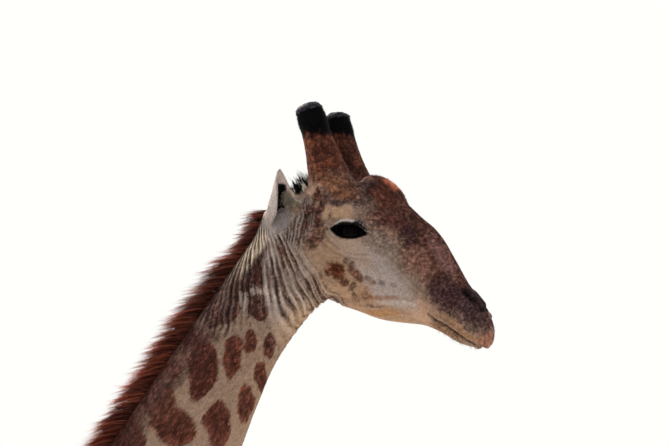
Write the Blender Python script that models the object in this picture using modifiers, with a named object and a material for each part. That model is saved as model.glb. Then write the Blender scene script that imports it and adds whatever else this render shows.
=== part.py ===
"""Adult bull giraffe, life size, standing still with its head turned to its right.

Metres, +Z up, the animal faces +X. The flesh is lofted as overlapping forms, fused
into one body with a voxel Remesh, and parted into named pieces with thin cuts.
Eyes, ears, hooves, mane and tail tuft are modelled apart and trimmed to the body.
"""

import math
from collections import namedtuple

import bmesh
import bpy
import numpy as np
from mathutils import Matrix, Vector

# ---- Driving dimensions -----------------------------------------------------------

WITHERS = Vector((0.38, 0.0, 2.97))         # top of the shoulders
NAPE_SLOPE = math.radians(56)               # rise of the neck's dorsal line
NECK_LENGTH = 1.87                          # withers to poll, along that line
HEAD_AT = Vector((1.663, -0.150, 4.433))    # middle of the head, level with the eyes
HEAD_TURN = math.radians(38)                # to the animal's right
HEAD_PITCH = math.radians(31)               # muzzle down
EYE_RADIUS = 0.033
EYE_OUT = 0.088                             # eyeball centre from the head's mid-plane
OSSICONE_LENGTH = 0.236
OSSICONE_CUT = 0.075                        # where horn and head part, above its foot
CORONET_HEIGHT = 0.125                      # where skin ends and hoof begins
GAP = 0.0004                                # clearance between neighbouring solids

FUSE_VOXEL = 0.009
SOFTEN_STEPS = 14
BLEND_STEPS = 260
HEAD_TRIANGLES = 2060
BODY_TRIANGLES = 1900

# ---- Section rows -----------------------------------------------------------------
# A form is a stack of superellipse sections. "up" and "down" are the half-heights
# above and below the section's widest level, "half" is the half-width, and the two
# roundness values are 2 for an ellipse, more for a boxier and less for a keener edge.

Row = namedtuple("Row", "at offset up down half round_up round_down")

# at: distance along +X; offset: height of the widest level above the ground.
TRUNK = [
    Row(-0.94, 2.06, 0.10, 0.12, 0.060, 2.0, 2.0),
    Row(-0.90, 2.06, 0.21, 0.23, 0.125, 2.0, 2.0),
    Row(-0.81, 2.07, 0.33, 0.33, 0.195, 1.9, 2.0),
    Row(-0.62, 2.09, 0.42, 0.37, 0.262, 1.9, 2.1),
    Row(-0.40, 2.10, 0.47, 0.34, 0.305, 1.8, 2.2),
    Row(-0.15, 2.11, 0.55, 0.36, 0.340, 1.8, 2.3),
    Row(0.08, 2.12, 0.67, 0.41, 0.335, 1.75, 2.2),
    Row(0.25, 2.13, 0.78, 0.44, 0.310, 1.8, 2.1),
    Row(0.38, 2.15, 0.82, 0.45, 0.285, 1.9, 2.0),
    Row(0.53, 2.18, 0.78, 0.43, 0.262, 2.0, 1.9),
    Row(0.68, 2.24, 0.64, 0.38, 0.232, 2.0, 1.8),
    Row(0.80, 2.32, 0.44, 0.28, 0.180, 2.0, 1.8),
    Row(0.87, 2.38, 0.24, 0.14, 0.100, 2.0, 2.0),
]

# at: height; offset: distance along +X; up and down run forward and back.
FORE_LEG = [
    Row(2.70, 0.42, 0.06, 0.06, 0.025, 2.0, 2.0),
    Row(2.60, 0.43, 0.13, 0.14, 0.070, 2.0, 2.0),
    Row(2.42, 0.46, 0.20, 0.22, 0.118, 2.0, 2.0),
    Row(2.22, 0.50, 0.24, 0.26, 0.140, 2.0, 2.0),
    Row(2.04, 0.49, 0.22, 0.26, 0.146, 2.0, 2.0),
    Row(1.86, 0.45, 0.172, 0.215, 0.130, 2.0, 2.0),
    Row(1.68, 0.43, 0.137, 0.160, 0.105, 2.0, 2.0),
    Row(1.50, 0.43, 0.114, 0.120, 0.083, 2.0, 2.0),
    Row(1.32, 0.43, 0.094, 0.094, 0.069, 2.0, 2.0),
    Row(1.16, 0.435, 0.077, 0.074, 0.061, 2.0, 2.0),
    Row(1.06, 0.445, 0.084, 0.075, 0.070, 2.3, 2.2),
    Row(0.97, 0.447, 0.085, 0.078, 0.074, 2.4, 2.3),
    Row(0.88, 0.443, 0.064, 0.072, 0.059, 2.1, 2.1),
    Row(0.78, 0.440, 0.051, 0.060, 0.049, 2.0, 2.0),
    Row(0.58, 0.440, 0.048, 0.055, 0.045, 2.0, 2.0),
    Row(0.40, 0.440, 0.049, 0.058, 0.046, 2.0, 2.0),
    Row(0.30, 0.440, 0.063, 0.074, 0.061, 2.1, 2.0),
    Row(0.24, 0.445, 0.064, 0.074, 0.062, 2.1, 2.0),
    Row(0.17, 0.462, 0.066, 0.066, 0.062, 2.0, 2.0),
    Row(0.11, 0.475, 0.080, 0.074, 0.069, 2.2, 2.2),
    Row(0.06, 0.485, 0.090, 0.078, 0.074, 2.2, 2.2),
]
HIND_LEG = [
    Row(2.42, -0.62, 0.05, 0.05, 0.020, 2.0, 2.0),
    Row(2.34, -0.61, 0.13, 0.13, 0.060, 2.0, 2.0),
    Row(2.20, -0.60, 0.23, 0.23, 0.115, 2.0, 2.0),
    Row(2.02, -0.575, 0.285, 0.285, 0.146, 2.0, 2.0),
    Row(1.84, -0.555, 0.265, 0.285, 0.146, 2.0, 2.0),
    Row(1.66, -0.565, 0.210, 0.235, 0.124, 2.0, 2.0),
    Row(1.50, -0.600, 0.168, 0.172, 0.098, 2.0, 2.0),
    Row(1.34, -0.660, 0.136, 0.122, 0.077, 2.0, 2.0),
    Row(1.18, -0.730, 0.104, 0.092, 0.060, 2.0, 1.8),
    Row(1.07, -0.780, 0.085, 0.100, 0.058, 2.0, 1.7),
    Row(0.98, -0.800, 0.082, 0.100, 0.062, 2.1, 1.8),
    Row(0.89, -0.795, 0.072, 0.076, 0.060, 2.1, 1.9),
    Row(0.78, -0.790, 0.054, 0.060, 0.050, 2.0, 2.0),
    Row(0.58, -0.785, 0.049, 0.056, 0.045, 2.0, 2.0),
    Row(0.40, -0.780, 0.050, 0.058, 0.046, 2.0, 2.0),
    Row(0.30, -0.775, 0.063, 0.074, 0.061, 2.1, 2.0),
    Row(0.24, -0.768, 0.064, 0.074, 0.062, 2.1, 2.0),
    Row(0.17, -0.750, 0.066, 0.066, 0.062, 2.0, 2.0),
    Row(0.11, -0.737, 0.080, 0.074, 0.069, 2.2, 2.2),
    Row(0.06, -0.727, 0.090, 0.078, 0.074, 2.2, 2.2),
]
LEGS = {"front": (FORE_LEG, 0.05), "hind": (HIND_LEG, -0.06)}   # rows, step of the right foot
# distance of a leg's middle from the mid-plane, by height
LEG_SPREAD = [(0.0, 0.185), (1.0, 0.175), (1.7, 0.165), (2.1, 0.150), (2.4, 0.120), (2.75, 0.080)]

# One claw of a hoof. at: height; offset: forward of the foot's middle.
CLAW = [
    Row(0.000, 0.030, 0.118, 0.112, 0.041, 2.1, 2.6),
    Row(0.025, 0.027, 0.110, 0.110, 0.041, 2.1, 2.6),
    Row(0.075, 0.018, 0.087, 0.097, 0.037, 2.1, 2.4),
    Row(CORONET_HEIGHT, 0.006, 0.068, 0.080, 0.032, 2.1, 2.2),
]
CLEFT_HALF = 0.0035

# at: distance along the dorsal line from the withers; offset: depth of the widest
# level below that line.
NECK = [
    Row(-0.34, 0.42, 0.22, 0.14, 0.110, 2.0, 2.0),
    Row(-0.10, 0.36, 0.34, 0.25, 0.182, 1.9, 2.0),
    Row(0.15, 0.30, 0.30, 0.25, 0.188, 1.8, 2.0),
    Row(0.45, 0.245, 0.245, 0.225, 0.168, 1.8, 2.0),
    Row(0.75, 0.210, 0.210, 0.200, 0.146, 1.8, 2.0),
    Row(1.05, 0.178, 0.178, 0.172, 0.124, 1.9, 2.0),
    Row(1.35, 0.145, 0.145, 0.136, 0.105, 1.9, 2.0),
    Row(1.56, 0.127, 0.125, 0.120, 0.087, 2.0, 2.0),
    Row(1.68, 0.124, 0.119, 0.135, 0.074, 2.0, 1.9),
    Row(1.78, 0.120, 0.118, 0.166, 0.063, 2.0, 1.8),
    Row(1.87, 0.115, 0.111, 0.100, 0.054, 2.0, 1.9),
    Row(1.93, 0.105, 0.074, 0.055, 0.038, 2.0, 2.0),
]

# Head forms are in the head's own axes: forward, left, up, from HEAD_AT.
# at: forward; offset: height of the widest level.
SKULL = [
    Row(-0.255, -0.070, 0.030, 0.060, 0.050, 2.0, 2.0),
    Row(-0.235, -0.070, 0.075, 0.110, 0.085, 2.0, 2.0),
    Row(-0.195, -0.065, 0.105, 0.130, 0.103, 2.2, 2.0),
    Row(-0.150, -0.050, 0.122, 0.140, 0.110, 2.3, 2.0),
    Row(-0.100, -0.030, 0.134, 0.155, 0.112, 2.3, 2.0),
    Row(-0.050, -0.015, 0.146, 0.168, 0.109, 2.2, 2.0),
    Row(0.000, -0.015, 0.154, 0.170, 0.103, 2.0, 2.0),
    Row(0.050, -0.030, 0.158, 0.150, 0.093, 1.8, 2.0),
    Row(0.100, -0.045, 0.163, 0.128, 0.083, 1.6, 2.0),
    Row(0.150, -0.055, 0.166, 0.107, 0.076, 1.5, 2.1),
    Row(0.200, -0.055, 0.147, 0.089, 0.068, 1.5, 2.2),
    Row(0.250, -0.050, 0.114, 0.076, 0.061, 1.6, 2.2),
    Row(0.300, -0.048, 0.083, 0.070, 0.057, 1.7, 2.2),
    Row(0.345, -0.052, 0.066, 0.066, 0.056, 1.8, 2.2),
    Row(0.385, -0.060, 0.056, 0.056, 0.048, 1.9, 2.1),
    Row(0.415, -0.068, 0.046, 0.040, 0.041, 2.0, 2.0),
    Row(0.437, -0.075, 0.032, 0.026, 0.031, 2.0, 2.0),
    Row(0.449, -0.079, 0.016, 0.014, 0.016, 2.0, 2.0),
]

# Swellings of the head: (forward, out, up), (half-length, half-width, half-height),
# and how far each is tipped nose down, in degrees. Those with out > 0 come in pairs.
Swelling = namedtuple("Swelling", "centre radii tip")
SWELLINGS = {
    "median_horn": Swelling((-0.019, 0.0, 0.103), (0.085, 0.052, 0.050), 12),
    "brow": Swelling((-0.018, 0.062, 0.050), (0.110, 0.050, 0.034), -10),
    "eye_mound": Swelling((-0.006, 0.066, 0.000), (0.080, 0.065, 0.048), -21),
    "eye_pouch": Swelling((0.020, 0.056, -0.040), (0.090, 0.044, 0.030), -10),
    "temple": Swelling((-0.120, 0.070, 0.030), (0.065, 0.040, 0.055), 0),
    "poll": Swelling((-0.168, 0.042, 0.028), (0.056, 0.050, 0.052), 0),
    "ear_root": Swelling((-0.215, 0.078, -0.085), (0.052, 0.052, 0.062), 0),
    "cheek": Swelling((-0.030, 0.060, -0.105), (0.105, 0.038, 0.080), -12),
    "cheek_ridge": Swelling((0.105, 0.056, -0.045), (0.090, 0.024, 0.026), -10),
    "jaw": Swelling((0.090, 0.034, -0.127), (0.120, 0.032, 0.036), -22),
    "nostril_wing": Swelling((0.364, 0.028, -0.022), (0.046, 0.022, 0.024), 34),
    "upper_lip": Swelling((0.390, 0.019, -0.071), (0.056, 0.031, 0.033), 12),
    "chin": Swelling((0.342, 0.0, -0.100), (0.050, 0.032, 0.019), 2),
}

# Where forms of the head flow into each other: (forward, out, up), radius, strength.
Blend = namedtuple("Blend", "centre radius share")
HEAD_BLENDS = [
    Blend((-0.150, 0.000, -0.150), 0.200, 0.30),    # jaw into throat
    Blend((0.075, 0.075, 0.010), 0.100, 0.45),      # front of the eye mound
    Blend((-0.110, 0.100, -0.070), 0.120, 0.30),    # cheek behind the eye
    Blend((-0.110, 0.085, 0.060), 0.060, 0.15),     # foot of the ossicone
]
EYE_OPENING = Swelling((-0.002, 0.138, 0.002), (0.046, 0.036, 0.0185), -21)

# One ear, from its root inside the head to the tip: (share of its length, half-width,
# how far the rims curl forward).
EAR_AT = (-0.235, 0.112, -0.084)
EAR_ALONG = (0.00, 0.40, 0.92)
EAR_FACING = (1.00, 0.00, 0.0)
EAR_LENGTH = 0.150
EAR_THICKNESS = 0.0075
EAR = [(-0.16, 0.018, 0.020), (0.00, 0.024, 0.030), (0.15, 0.029, 0.040), (0.35, 0.031, 0.045),
       (0.55, 0.030, 0.040), (0.75, 0.024, 0.025), (0.90, 0.014, 0.010), (1.00, 0.004, 0.002)]

TAIL_PATH = [(-0.83, 2.30), (-0.93, 2.26), (-1.00, 2.12), (-1.015, 1.90),
             (-1.01, 1.65), (-1.00, 1.42), (-1.00, 1.27)]
TAIL_RADII = [0.062, 0.055, 0.040, 0.030, 0.024, 0.019, 0.016]
TUFT_PATH = [(-1.00, 1.315), (-1.002, 1.20), (-1.007, 1.05), (-1.010, 0.90), (-1.005, 0.76)]
TUFT_RADII = [0.022, 0.034, 0.043, 0.034, 0.008]

# Mane: (distance from the withers, height of the hair tips above the dorsal line).
MANE_EDGE = [(-0.06, 0.024), (0.10, 0.050), (0.40, 0.060), (0.90, 0.060),
             (1.40, 0.060), (1.66, 0.060), (1.80, 0.046), (1.88, 0.030)]
MANE_HALF = 0.017
MANE_ROOT = 0.035                           # how deep the crest reaches into the neck

# ---- Naming -----------------------------------------------------------------------

# a point near the middle of each piece the flesh is parted into
LANDMARKS = {
    "head": (1.66, -0.15, 4.43), "neck": (1.05, 0.0, 3.65), "trunk": (0.0, 0.0, 2.20),
    "tail": (-1.01, 0.0, 1.70),
    "leg_front_left": (0.44, 0.18, 0.85), "leg_front_right": (0.44, -0.18, 0.85),
    "leg_hind_left": (-0.72, 0.18, 0.85), "leg_hind_right": (-0.72, -0.18, 0.85),
}

# slot: colour and roughness
MATERIALS = {
    "coat": ((0.45, 0.27, 0.15), 0.85),
    "ossicone": ((0.22, 0.12, 0.07), 0.80),
    "eye": ((0.012, 0.008, 0.006), 0.10),
    "hoof": ((0.10, 0.08, 0.065), 0.55),
    "mane": ((0.28, 0.09, 0.04), 0.90),
    "tail_tuft": ((0.02, 0.016, 0.014), 0.85),
}


# ---- Curves and sections ----------------------------------------------------------

def smooth_rows(rows, spacing):
    """Rows resampled about every spacing along their first column, on a smooth curve."""
    table = np.array(rows, float)
    at = table[:, 0]
    slope = np.gradient(table, at, axis=0)
    count = max(4, round(abs(at[-1] - at[0]) / spacing))
    out = []
    for value in np.linspace(at[0], at[-1], count + 1):
        order = at if at[0] < at[-1] else at[::-1]
        k = int(np.clip(np.searchsorted(order, value) - 1, 0, len(at) - 2))
        k = k if at[0] < at[-1] else len(at) - 2 - k
        step = at[k + 1] - at[k]
        t = (value - at[k]) / step
        out.append(
            table[k] * (2 * t**3 - 3 * t**2 + 1) + table[k + 1] * (3 * t**2 - 2 * t**3)
            + slope[k] * step * (t**3 - 2 * t**2 + t) + slope[k + 1] * step * (t**3 - t**2)
        )
    return [Row(*row) for row in out]


def section(row, sides):
    """(across, upward) points of one superellipse section, round from +across."""
    points = []
    for k in range(sides):
        turn = 2 * math.pi * k / sides
        c, s = math.cos(turn), math.sin(turn)
        power = 2 / (row.round_up if s >= 0 else row.round_down)
        height = row.up if s >= 0 else row.down
        points.append((math.copysign(abs(c) ** power, c) * row.half,
                       math.copysign(abs(s) ** power, s) * height))
    return points


def loft(name, rings):
    """A closed mesh of triangles through rings of points, with flat ends."""
    mesh = bmesh.new()
    loops = [[mesh.verts.new(point) for point in ring] for ring in rings]
    for low, high in zip(loops, loops[1:]):
        for k in range(len(low)):
            j = (k + 1) % len(low)
            mesh.faces.new((low[k], low[j], high[j], high[k]))
    mesh.faces.new(loops[0][::-1])
    mesh.faces.new(loops[-1])
    bmesh.ops.recalc_face_normals(mesh, faces=mesh.faces)
    bmesh.ops.triangulate(mesh, faces=mesh.faces)
    return object_of(name, mesh)


def object_of(name, mesh):
    """Writes a bmesh to a new object in the giraffe's collection."""
    data = bpy.data.meshes.new(name)
    mesh.to_mesh(data)
    mesh.free()
    made = bpy.data.objects.new(name, data)
    PARTS.objects.link(made)
    return made


def tube(name, path, radii, sides):
    """A tapering round form along an (x, z) path in the mid-plane."""
    knots = np.column_stack([path, radii])
    along = np.r_[0, np.cumsum(np.hypot(*np.diff(knots[:, :2], axis=0).T))]
    slope = np.gradient(knots, along, axis=0)
    rings = []
    for k in range(len(along) - 1):
        step = along[k + 1] - along[k]
        last = k == len(along) - 2
        for t in np.linspace(0, 1, 6 if last else 5)[: None if last else -1]:
            x, z, radius = (
                knots[k] * (2 * t**3 - 3 * t**2 + 1) + knots[k + 1] * (3 * t**2 - 2 * t**3)
                + slope[k] * step * (t**3 - 2 * t**2 + t) + slope[k + 1] * step * (t**3 - t**2)
            )
            run = slope[k] * (1 - t) + slope[k + 1] * t
            along_tube = Vector((run[0], 0, run[1])).normalized()
            side = along_tube.cross(Vector((0, 1, 0)))
            rings.append([
                Vector((x, 0, z)) + (math.cos(a) * side + math.sin(a) * Vector((0, 1, 0))) * float(radius)
                for a in (2 * math.pi * k / sides for k in range(sides))
            ])
    return loft(name, rings)


# ---- Frames of the head and the neck ----------------------------------------------

def head_axes():
    """The head's frame: columns forward, left, up, and its place."""
    forward = Vector((math.cos(HEAD_PITCH) * math.cos(HEAD_TURN),
                      -math.cos(HEAD_PITCH) * math.sin(HEAD_TURN),
                      -math.sin(HEAD_PITCH)))
    left = Vector((math.sin(HEAD_TURN), math.cos(HEAD_TURN), 0))
    up = forward.cross(left)
    axes = Matrix((forward, left, up)).transposed().to_4x4()
    return Matrix.Translation(HEAD_AT) @ axes


def neck_axes(along):
    """The neck's frame at a distance from the withers: columns dorsal, left, along.
    The upper neck bends and twists to the right, towards the turned head."""
    share = max(0.0, (along - 0.7) / (NECK_LENGTH - 0.7))
    twist = HEAD_TURN * share**1.6
    sideways = -0.055 * share**4
    run = Vector((math.cos(NAPE_SLOPE), 0, math.sin(NAPE_SLOPE)))
    back = Vector((-math.sin(NAPE_SLOPE), 0, math.cos(NAPE_SLOPE)))
    turn = Matrix.Rotation(-twist, 3, run)
    place = WITHERS + run * along + Vector((0, sideways, 0))
    axes = Matrix((turn @ back, turn @ Vector((0, 1, 0)), run)).transposed().to_4x4()
    return Matrix.Translation(place) @ axes


# ---- Flesh ------------------------------------------------------------------------

def make_trunk():
    rings = [[(row.at, across, row.offset + upward) for across, upward in section(row, 40)]
             for row in smooth_rows(TRUNK, 0.05)]
    return loft("trunk_form", rings)


def leg_middle(kind, side, row):
    """(x, y) of a leg's middle at the height of a row. side is 1 for left."""
    rows, step = LEGS[kind]
    low = 1 - row.at / rows[0].at
    return row.offset - side * step * low**1.5, side * float(np.interp(row.at, *zip(*LEG_SPREAD)))


def make_leg(kind, side):
    rings = []
    for row in smooth_rows(LEGS[kind][0], 0.035):
        x, y = leg_middle(kind, side, row)
        rings.append([(x + upward, y + across, row.at) for across, upward in section(row, 28)])
    return loft("leg_form", rings)


def make_neck():
    rings = []
    for row in smooth_rows(NECK, 0.04):
        frame = neck_axes(row.at)
        # the widest level lies on the straight centre line, below the dorsal line
        rings.append([frame @ Vector((upward - row.offset, across, 0))
                      for across, upward in section(row, 36)])
    return loft("neck_form", rings)


def make_skull():
    axes = head_axes()
    rings = [[axes @ Vector((row.at, across, row.offset + upward))
              for across, upward in section(row, 40)]
             for row in smooth_rows(SKULL, 0.012)]
    return loft("skull_form", rings)


def make_swelling(name, swelling, side):
    forward, out, up = swelling.centre
    mesh = bmesh.new()
    bmesh.ops.create_uvsphere(mesh, u_segments=24, v_segments=16, radius=1.0)
    place = (head_axes() @ Matrix.Translation((forward, side * out, up))
             @ Matrix.Rotation(math.radians(swelling.tip), 4, "Y")
             @ Matrix.Diagonal((*swelling.radii, 1)))
    mesh.transform(place)
    return object_of(name, mesh)


def ossicone_axis(side):
    """Foot and direction of one ossicone, in world space."""
    axes = head_axes()
    foot = axes @ Vector((-0.131, side * 0.058, 0.068))
    tip = axes @ Vector((-0.307, side * 0.075, 0.232))
    return foot, (tip - foot).normalized()


def make_ossicone(side):
    """Thick horn under skin: a flared foot, a straight shaft and a domed worn top."""
    foot, run = ossicone_axis(side)
    shape = [(-0.060, 0.030), (-0.035, 0.052), (0.000, 0.062), (0.030, 0.058), (0.065, 0.051),
             (0.110, 0.0435), (0.160, 0.0395), (0.203, 0.0385), (0.221, 0.0355),
             (0.230, 0.027), (OSSICONE_LENGTH, 0.015)]
    across = run.orthogonal().normalized()
    other = run.cross(across)
    rings = [[foot + run * height + radius * (math.cos(a) * across + math.sin(a) * other)
              for a in (2 * math.pi * k / 24 for k in range(24))]
             for height, radius in shape]
    return loft("ossicone_form", rings)


def joined(objects):
    """One object holding the meshes of them all."""
    with bpy.context.temp_override(active_object=objects[0], selected_editable_objects=objects):
        bpy.ops.object.join()
    return objects[0]


def fuse(forms):
    """One skin round all the forms: joined, voxel remeshed, softened and thinned."""
    body = joined(forms)
    body.name = "body"
    remesh = body.modifiers.new("fuse", "REMESH")
    remesh.mode = "VOXEL"
    remesh.voxel_size = FUSE_VOXEL
    apply_modifiers(body)
    soften(body, "soft", soft_share, SOFTEN_STEPS)
    soften(body, "blend", blend_share, BLEND_STEPS)
    thin_out(body, "body_plain", lambda point: (1 - head_share(point)) * plain_share(point),
             BODY_TRIANGLES)
    thin_out(body, "head_plain", head_share, HEAD_TRIANGLES)
    return body


def thin_out(target, group, share, triangles):
    """Thins the region where share(point) is high to a number of triangles."""
    weigh(target, group, share)
    faces = target.data.polygons
    total = sum(len(face.vertices) - 2 for face in faces)
    region = sum(len(face.vertices) - 2 for face in faces if share(face.center) > 0.3)
    thin = target.modifiers.new(group, "DECIMATE")
    thin.vertex_group = group
    thin.vertex_group_factor = 1.0
    thin.use_collapse_triangulate = True
    thin.ratio = (total - region + triangles) / total
    apply_modifiers(target)


def soften(target, group, share, steps):
    """Smooths the mesh as strongly as share(point) says."""
    weigh(target, group, share)
    smooth = target.modifiers.new(group, "SMOOTH")
    smooth.factor = 0.5
    smooth.iterations = steps
    smooth.vertex_group = group
    apply_modifiers(target)


def ramp(value, low, high):
    """0 at low, 1 at high, smooth in between."""
    t = min(1.0, max(0.0, (value - low) / (high - low)))
    return t * t * (3 - 2 * t)


def soft_share(point):
    """Full softening everywhere but on the face, which keeps its forms."""
    return 0.6 if (point - HEAD_AT).length < 0.55 else 1.0


def blend_share(point):
    """1 where trunk, neck and limbs flow into each other, 0 on limbs, tail and face."""
    run = Vector((math.cos(NAPE_SLOPE), 0, math.sin(NAPE_SLOPE)))
    up_neck = (point - WITHERS).dot(run)
    on_trunk = (ramp(point.z, 1.38, 1.80) * ramp(point.x, -0.95, -0.88)
                * (1 - ramp(up_neck, 0.3, 0.8)))
    return max(on_trunk, *(spot.share * (1 - ramp((point - spot.centre).length,
                                                  0.5 * spot.radius, spot.radius))
                           for spot in head_blends()))


def head_share(point):
    """1 on the head, 0 on the body."""
    return 1 - ramp((point - HEAD_AT).length, 0.44, 0.50)


def head_blends():
    """The blend spots in world space."""
    axes = head_axes()
    return [Blend(axes @ Vector((centre[0], side * centre[1], centre[2])), radius, share)
            for centre, radius, share in HEAD_BLENDS for side in (1, -1)]


def plain_share(point):
    """How freely facets may grow: less on the legs than on the trunk."""
    return 0.85 if point.z < 1.6 else 1.0


def weigh(target, name, share):
    """A vertex group whose weights are share(point)."""
    group = target.vertex_groups.new(name=name)
    for vertex in target.data.vertices:
        group.add([vertex.index], share(vertex.co), "REPLACE")


def apply_modifiers(target):
    graph = bpy.context.evaluated_depsgraph_get()
    shape = bpy.data.meshes.new_from_object(target.evaluated_get(graph))
    target.modifiers.clear()
    target.data = shape


def make_body():
    forms = [make_trunk(), make_neck(), make_skull()]
    forms.append(tube("tail_form", TAIL_PATH, TAIL_RADII, 20))
    for side in (1, -1):
        forms += [make_leg("front", side), make_leg("hind", side), make_ossicone(side)]
    for name, swelling in SWELLINGS.items():
        for side in ((1, -1) if swelling.centre[1] else (1,)):
            forms.append(make_swelling(name, swelling, side))
    return fuse(forms)


# ---- Parting the flesh ------------------------------------------------------------

def subtract(target, cutter):
    """Takes the cutter's volume out of the target; the cutter goes."""
    cut = target.modifiers.new("cut", "BOOLEAN")
    cut.operation = "DIFFERENCE"
    cut.solver = "EXACT"
    cut.object = cutter
    apply_modifiers(target)
    bpy.data.objects.remove(cutter)


def trim_to(target, neighbour):
    """Trims the target to the neighbour, with a clearance of about GAP. The second cut
    takes what the grown copy misses where its facets are sharp."""
    for growth in (GAP, 0.0):
        cutter = neighbour.copy()
        cutter.data = neighbour.data.copy()
        PARTS.objects.link(cutter)
        grow = cutter.modifiers.new("grow", "DISPLACE")
        grow.mid_level = 0.0
        grow.strength = growth
        apply_modifiers(cutter)
        subtract(target, cutter)


def block(size, place):
    """A box of the given size at a placing matrix."""
    mesh = bmesh.new()
    bmesh.ops.create_cube(mesh, size=1.0)
    mesh.transform(place @ Matrix.Diagonal((*size, 1)))
    return object_of("block", mesh)


def disc(radius, place):
    """A round sheet GAP thick across the Z axis of a placing matrix."""
    rings = [[place @ Vector((radius * math.cos(a), radius * math.sin(a), height))
              for a in (2 * math.pi * k / 32 for k in range(32))]
             for height in (-GAP / 2, GAP / 2)]
    return loft("disc", rings)


def facing(place, normal):
    """A placing matrix at a point, its Z axis along the normal."""
    return Matrix.Translation(place) @ normal.to_track_quat("Z", "Y").to_matrix().to_4x4()


def neck_cut(along, depth, radius):
    """A sheet across the neck, centred a depth below the dorsal line."""
    return disc(radius, neck_axes(along) @ Matrix.Translation((-depth, 0, 0)))


def leg_cut(x, side, height, length):
    """A level sheet across one leg, clear of the other."""
    width = 0.44
    return block((length, width, GAP), Matrix.Translation((x, side * (width / 2 + 0.01), height)))


def part_flesh(body):
    """Parts the body into named pieces along thin sheets."""
    below_coronet = Matrix.Translation((0, 0, CORONET_HEIGHT + GAP - 0.5))
    cutters = [block((3, 2, 1), below_coronet), neck_cut(0.05, 0.30, 0.48),
               neck_cut(1.72, 0.13, 0.22), disc(0.058, Matrix.Translation((-1.008, 0, 2.06)))]
    for side in (1, -1):
        foot, run = ossicone_axis(side)
        cutters += [disc(0.062, facing(foot + run * OSSICONE_CUT, run)),
                    leg_cut(0.43, side, 1.62, 0.42), leg_cut(-0.585, side, 1.58, 0.50)]
    subtract(body, joined(cutters))
    pieces = {landmark_name(piece): piece for piece in loose_parts(body)}
    for name, piece in pieces.items():
        piece.name = name
    return pieces


def loose_parts(source):
    """A new object for each connected part of the source's mesh; the source goes."""
    mesh = bmesh.new()
    mesh.from_mesh(source.data)
    waiting = set(mesh.verts)
    islands = []
    while waiting:
        island = set()
        front = [waiting.pop()]
        while front:
            vert = front.pop()
            island.add(vert)
            near = [edge.other_vert(vert) for edge in vert.link_edges]
            front += [other for other in near if other in waiting]
            waiting.difference_update(near)
        islands.append({vert.index for vert in island})
    mesh.free()
    parts = []
    for island in islands:
        mesh = bmesh.new()
        mesh.from_mesh(source.data)
        strangers = [vert for vert in mesh.verts if vert.index not in island]
        bmesh.ops.delete(mesh, geom=strangers, context="VERTS")
        parts.append(object_of("part", mesh))
    bpy.data.objects.remove(source)
    return parts


def keep_largest(target):
    """Drops the crumbs a trim may leave: only the widest connected part stays."""
    name = target.name
    parts = sorted(loose_parts(target), key=lambda part: part.dimensions.length)
    for crumb in parts[:-1]:
        bpy.data.objects.remove(crumb)
    parts[-1].name = name
    return parts[-1]


def landmark_name(piece):
    corners = [Vector(corner) for corner in piece.bound_box]
    middle = sum(corners, Vector()) / 8
    marks = dict(LANDMARKS)
    for side, word in ((1, "left"), (-1, "right")):
        foot, run = ossicone_axis(side)
        marks["ossicone_" + word] = foot + run * 0.15
    return min(marks, key=lambda name: (Vector(marks[name]) - middle).length)


# ---- Eyes, ears, hooves and hair --------------------------------------------------

def eyeball(name, side, radius):
    mesh = bmesh.new()
    bmesh.ops.create_uvsphere(mesh, u_segments=14, v_segments=10, radius=radius)
    mesh.transform(head_axes() @ Matrix.Translation((0, side * EYE_OUT, 0))
                   @ Matrix.Rotation(math.pi / 2, 4, "X"))
    return object_of(name, mesh)


def open_eye(head, side):
    """Cuts the slit between the lids and the socket behind it."""
    subtract(head, make_swelling("slit", EYE_OPENING, side))
    subtract(head, eyeball("socket", side, EYE_RADIUS + GAP))


def make_ear(name, side):
    """A cupped leaf: its back is an arc, its hollow faces forward and outward."""
    flip = Vector((1, side, 1))
    along = (Vector(EAR_ALONG) * flip).normalized()
    facing_out = Vector(EAR_FACING) * flip
    facing_out = (facing_out - along * facing_out.dot(along)).normalized()
    across = along.cross(facing_out)
    axes = head_axes()
    table = np.array(EAR)
    rings = []
    for share in np.linspace(table[0, 0], 1.0, 10):
        half = float(np.interp(share, table[:, 0], table[:, 1]))
        curl = float(np.interp(share, table[:, 0], table[:, 2]))
        stem = Vector(EAR_AT) * flip + along * (EAR_LENGTH * share)
        back = [(k / 3 - 1, 0.0) for k in range(7)]
        front = [(-u, EAR_THICKNESS * (1 - 0.6 * u * u)) for u, _ in back]
        rings.append([axes @ (stem + across * (u * half) + facing_out * (curl * u * u + lift))
                      for u, lift in back + front])
    return loft(name, rings)


def make_hoof(name, kind, side, claw_side):
    """One claw of a foot: flat sole, sloping front wall, top face level with the coronet."""
    coronet = min(LEGS[kind][0], key=lambda row: abs(row.at - CORONET_HEIGHT))
    x, y = leg_middle(kind, side, coronet)
    rings = []
    for row in smooth_rows(CLAW, 0.032):
        middle = y + claw_side * (row.half + CLEFT_HALF)
        rings.append([(x + row.offset + upward, middle + across, row.at)
                      for across, upward in section(row, 16)])
    return loft(name, rings)


def make_mane():
    """A thin upright crest on the dorsal line, keener towards its edge."""
    along, height = np.array(MANE_EDGE).T
    rings = []
    for at in np.linspace(along[0], along[-1], 18):
        frame = neck_axes(float(at))
        edge = float(np.interp(at, along, height))
        profile = [(-MANE_ROOT, 1.0), (0.0, 1.0), (0.55 * edge, 0.8), (edge, 0.25)]
        outline = [(up, width) for up, width in profile] + [(up, -width) for up, width in profile[::-1]]
        rings.append([frame @ Vector((up, width * MANE_HALF, 0)) for up, width in outline])
    return loft("mane", rings)


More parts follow.
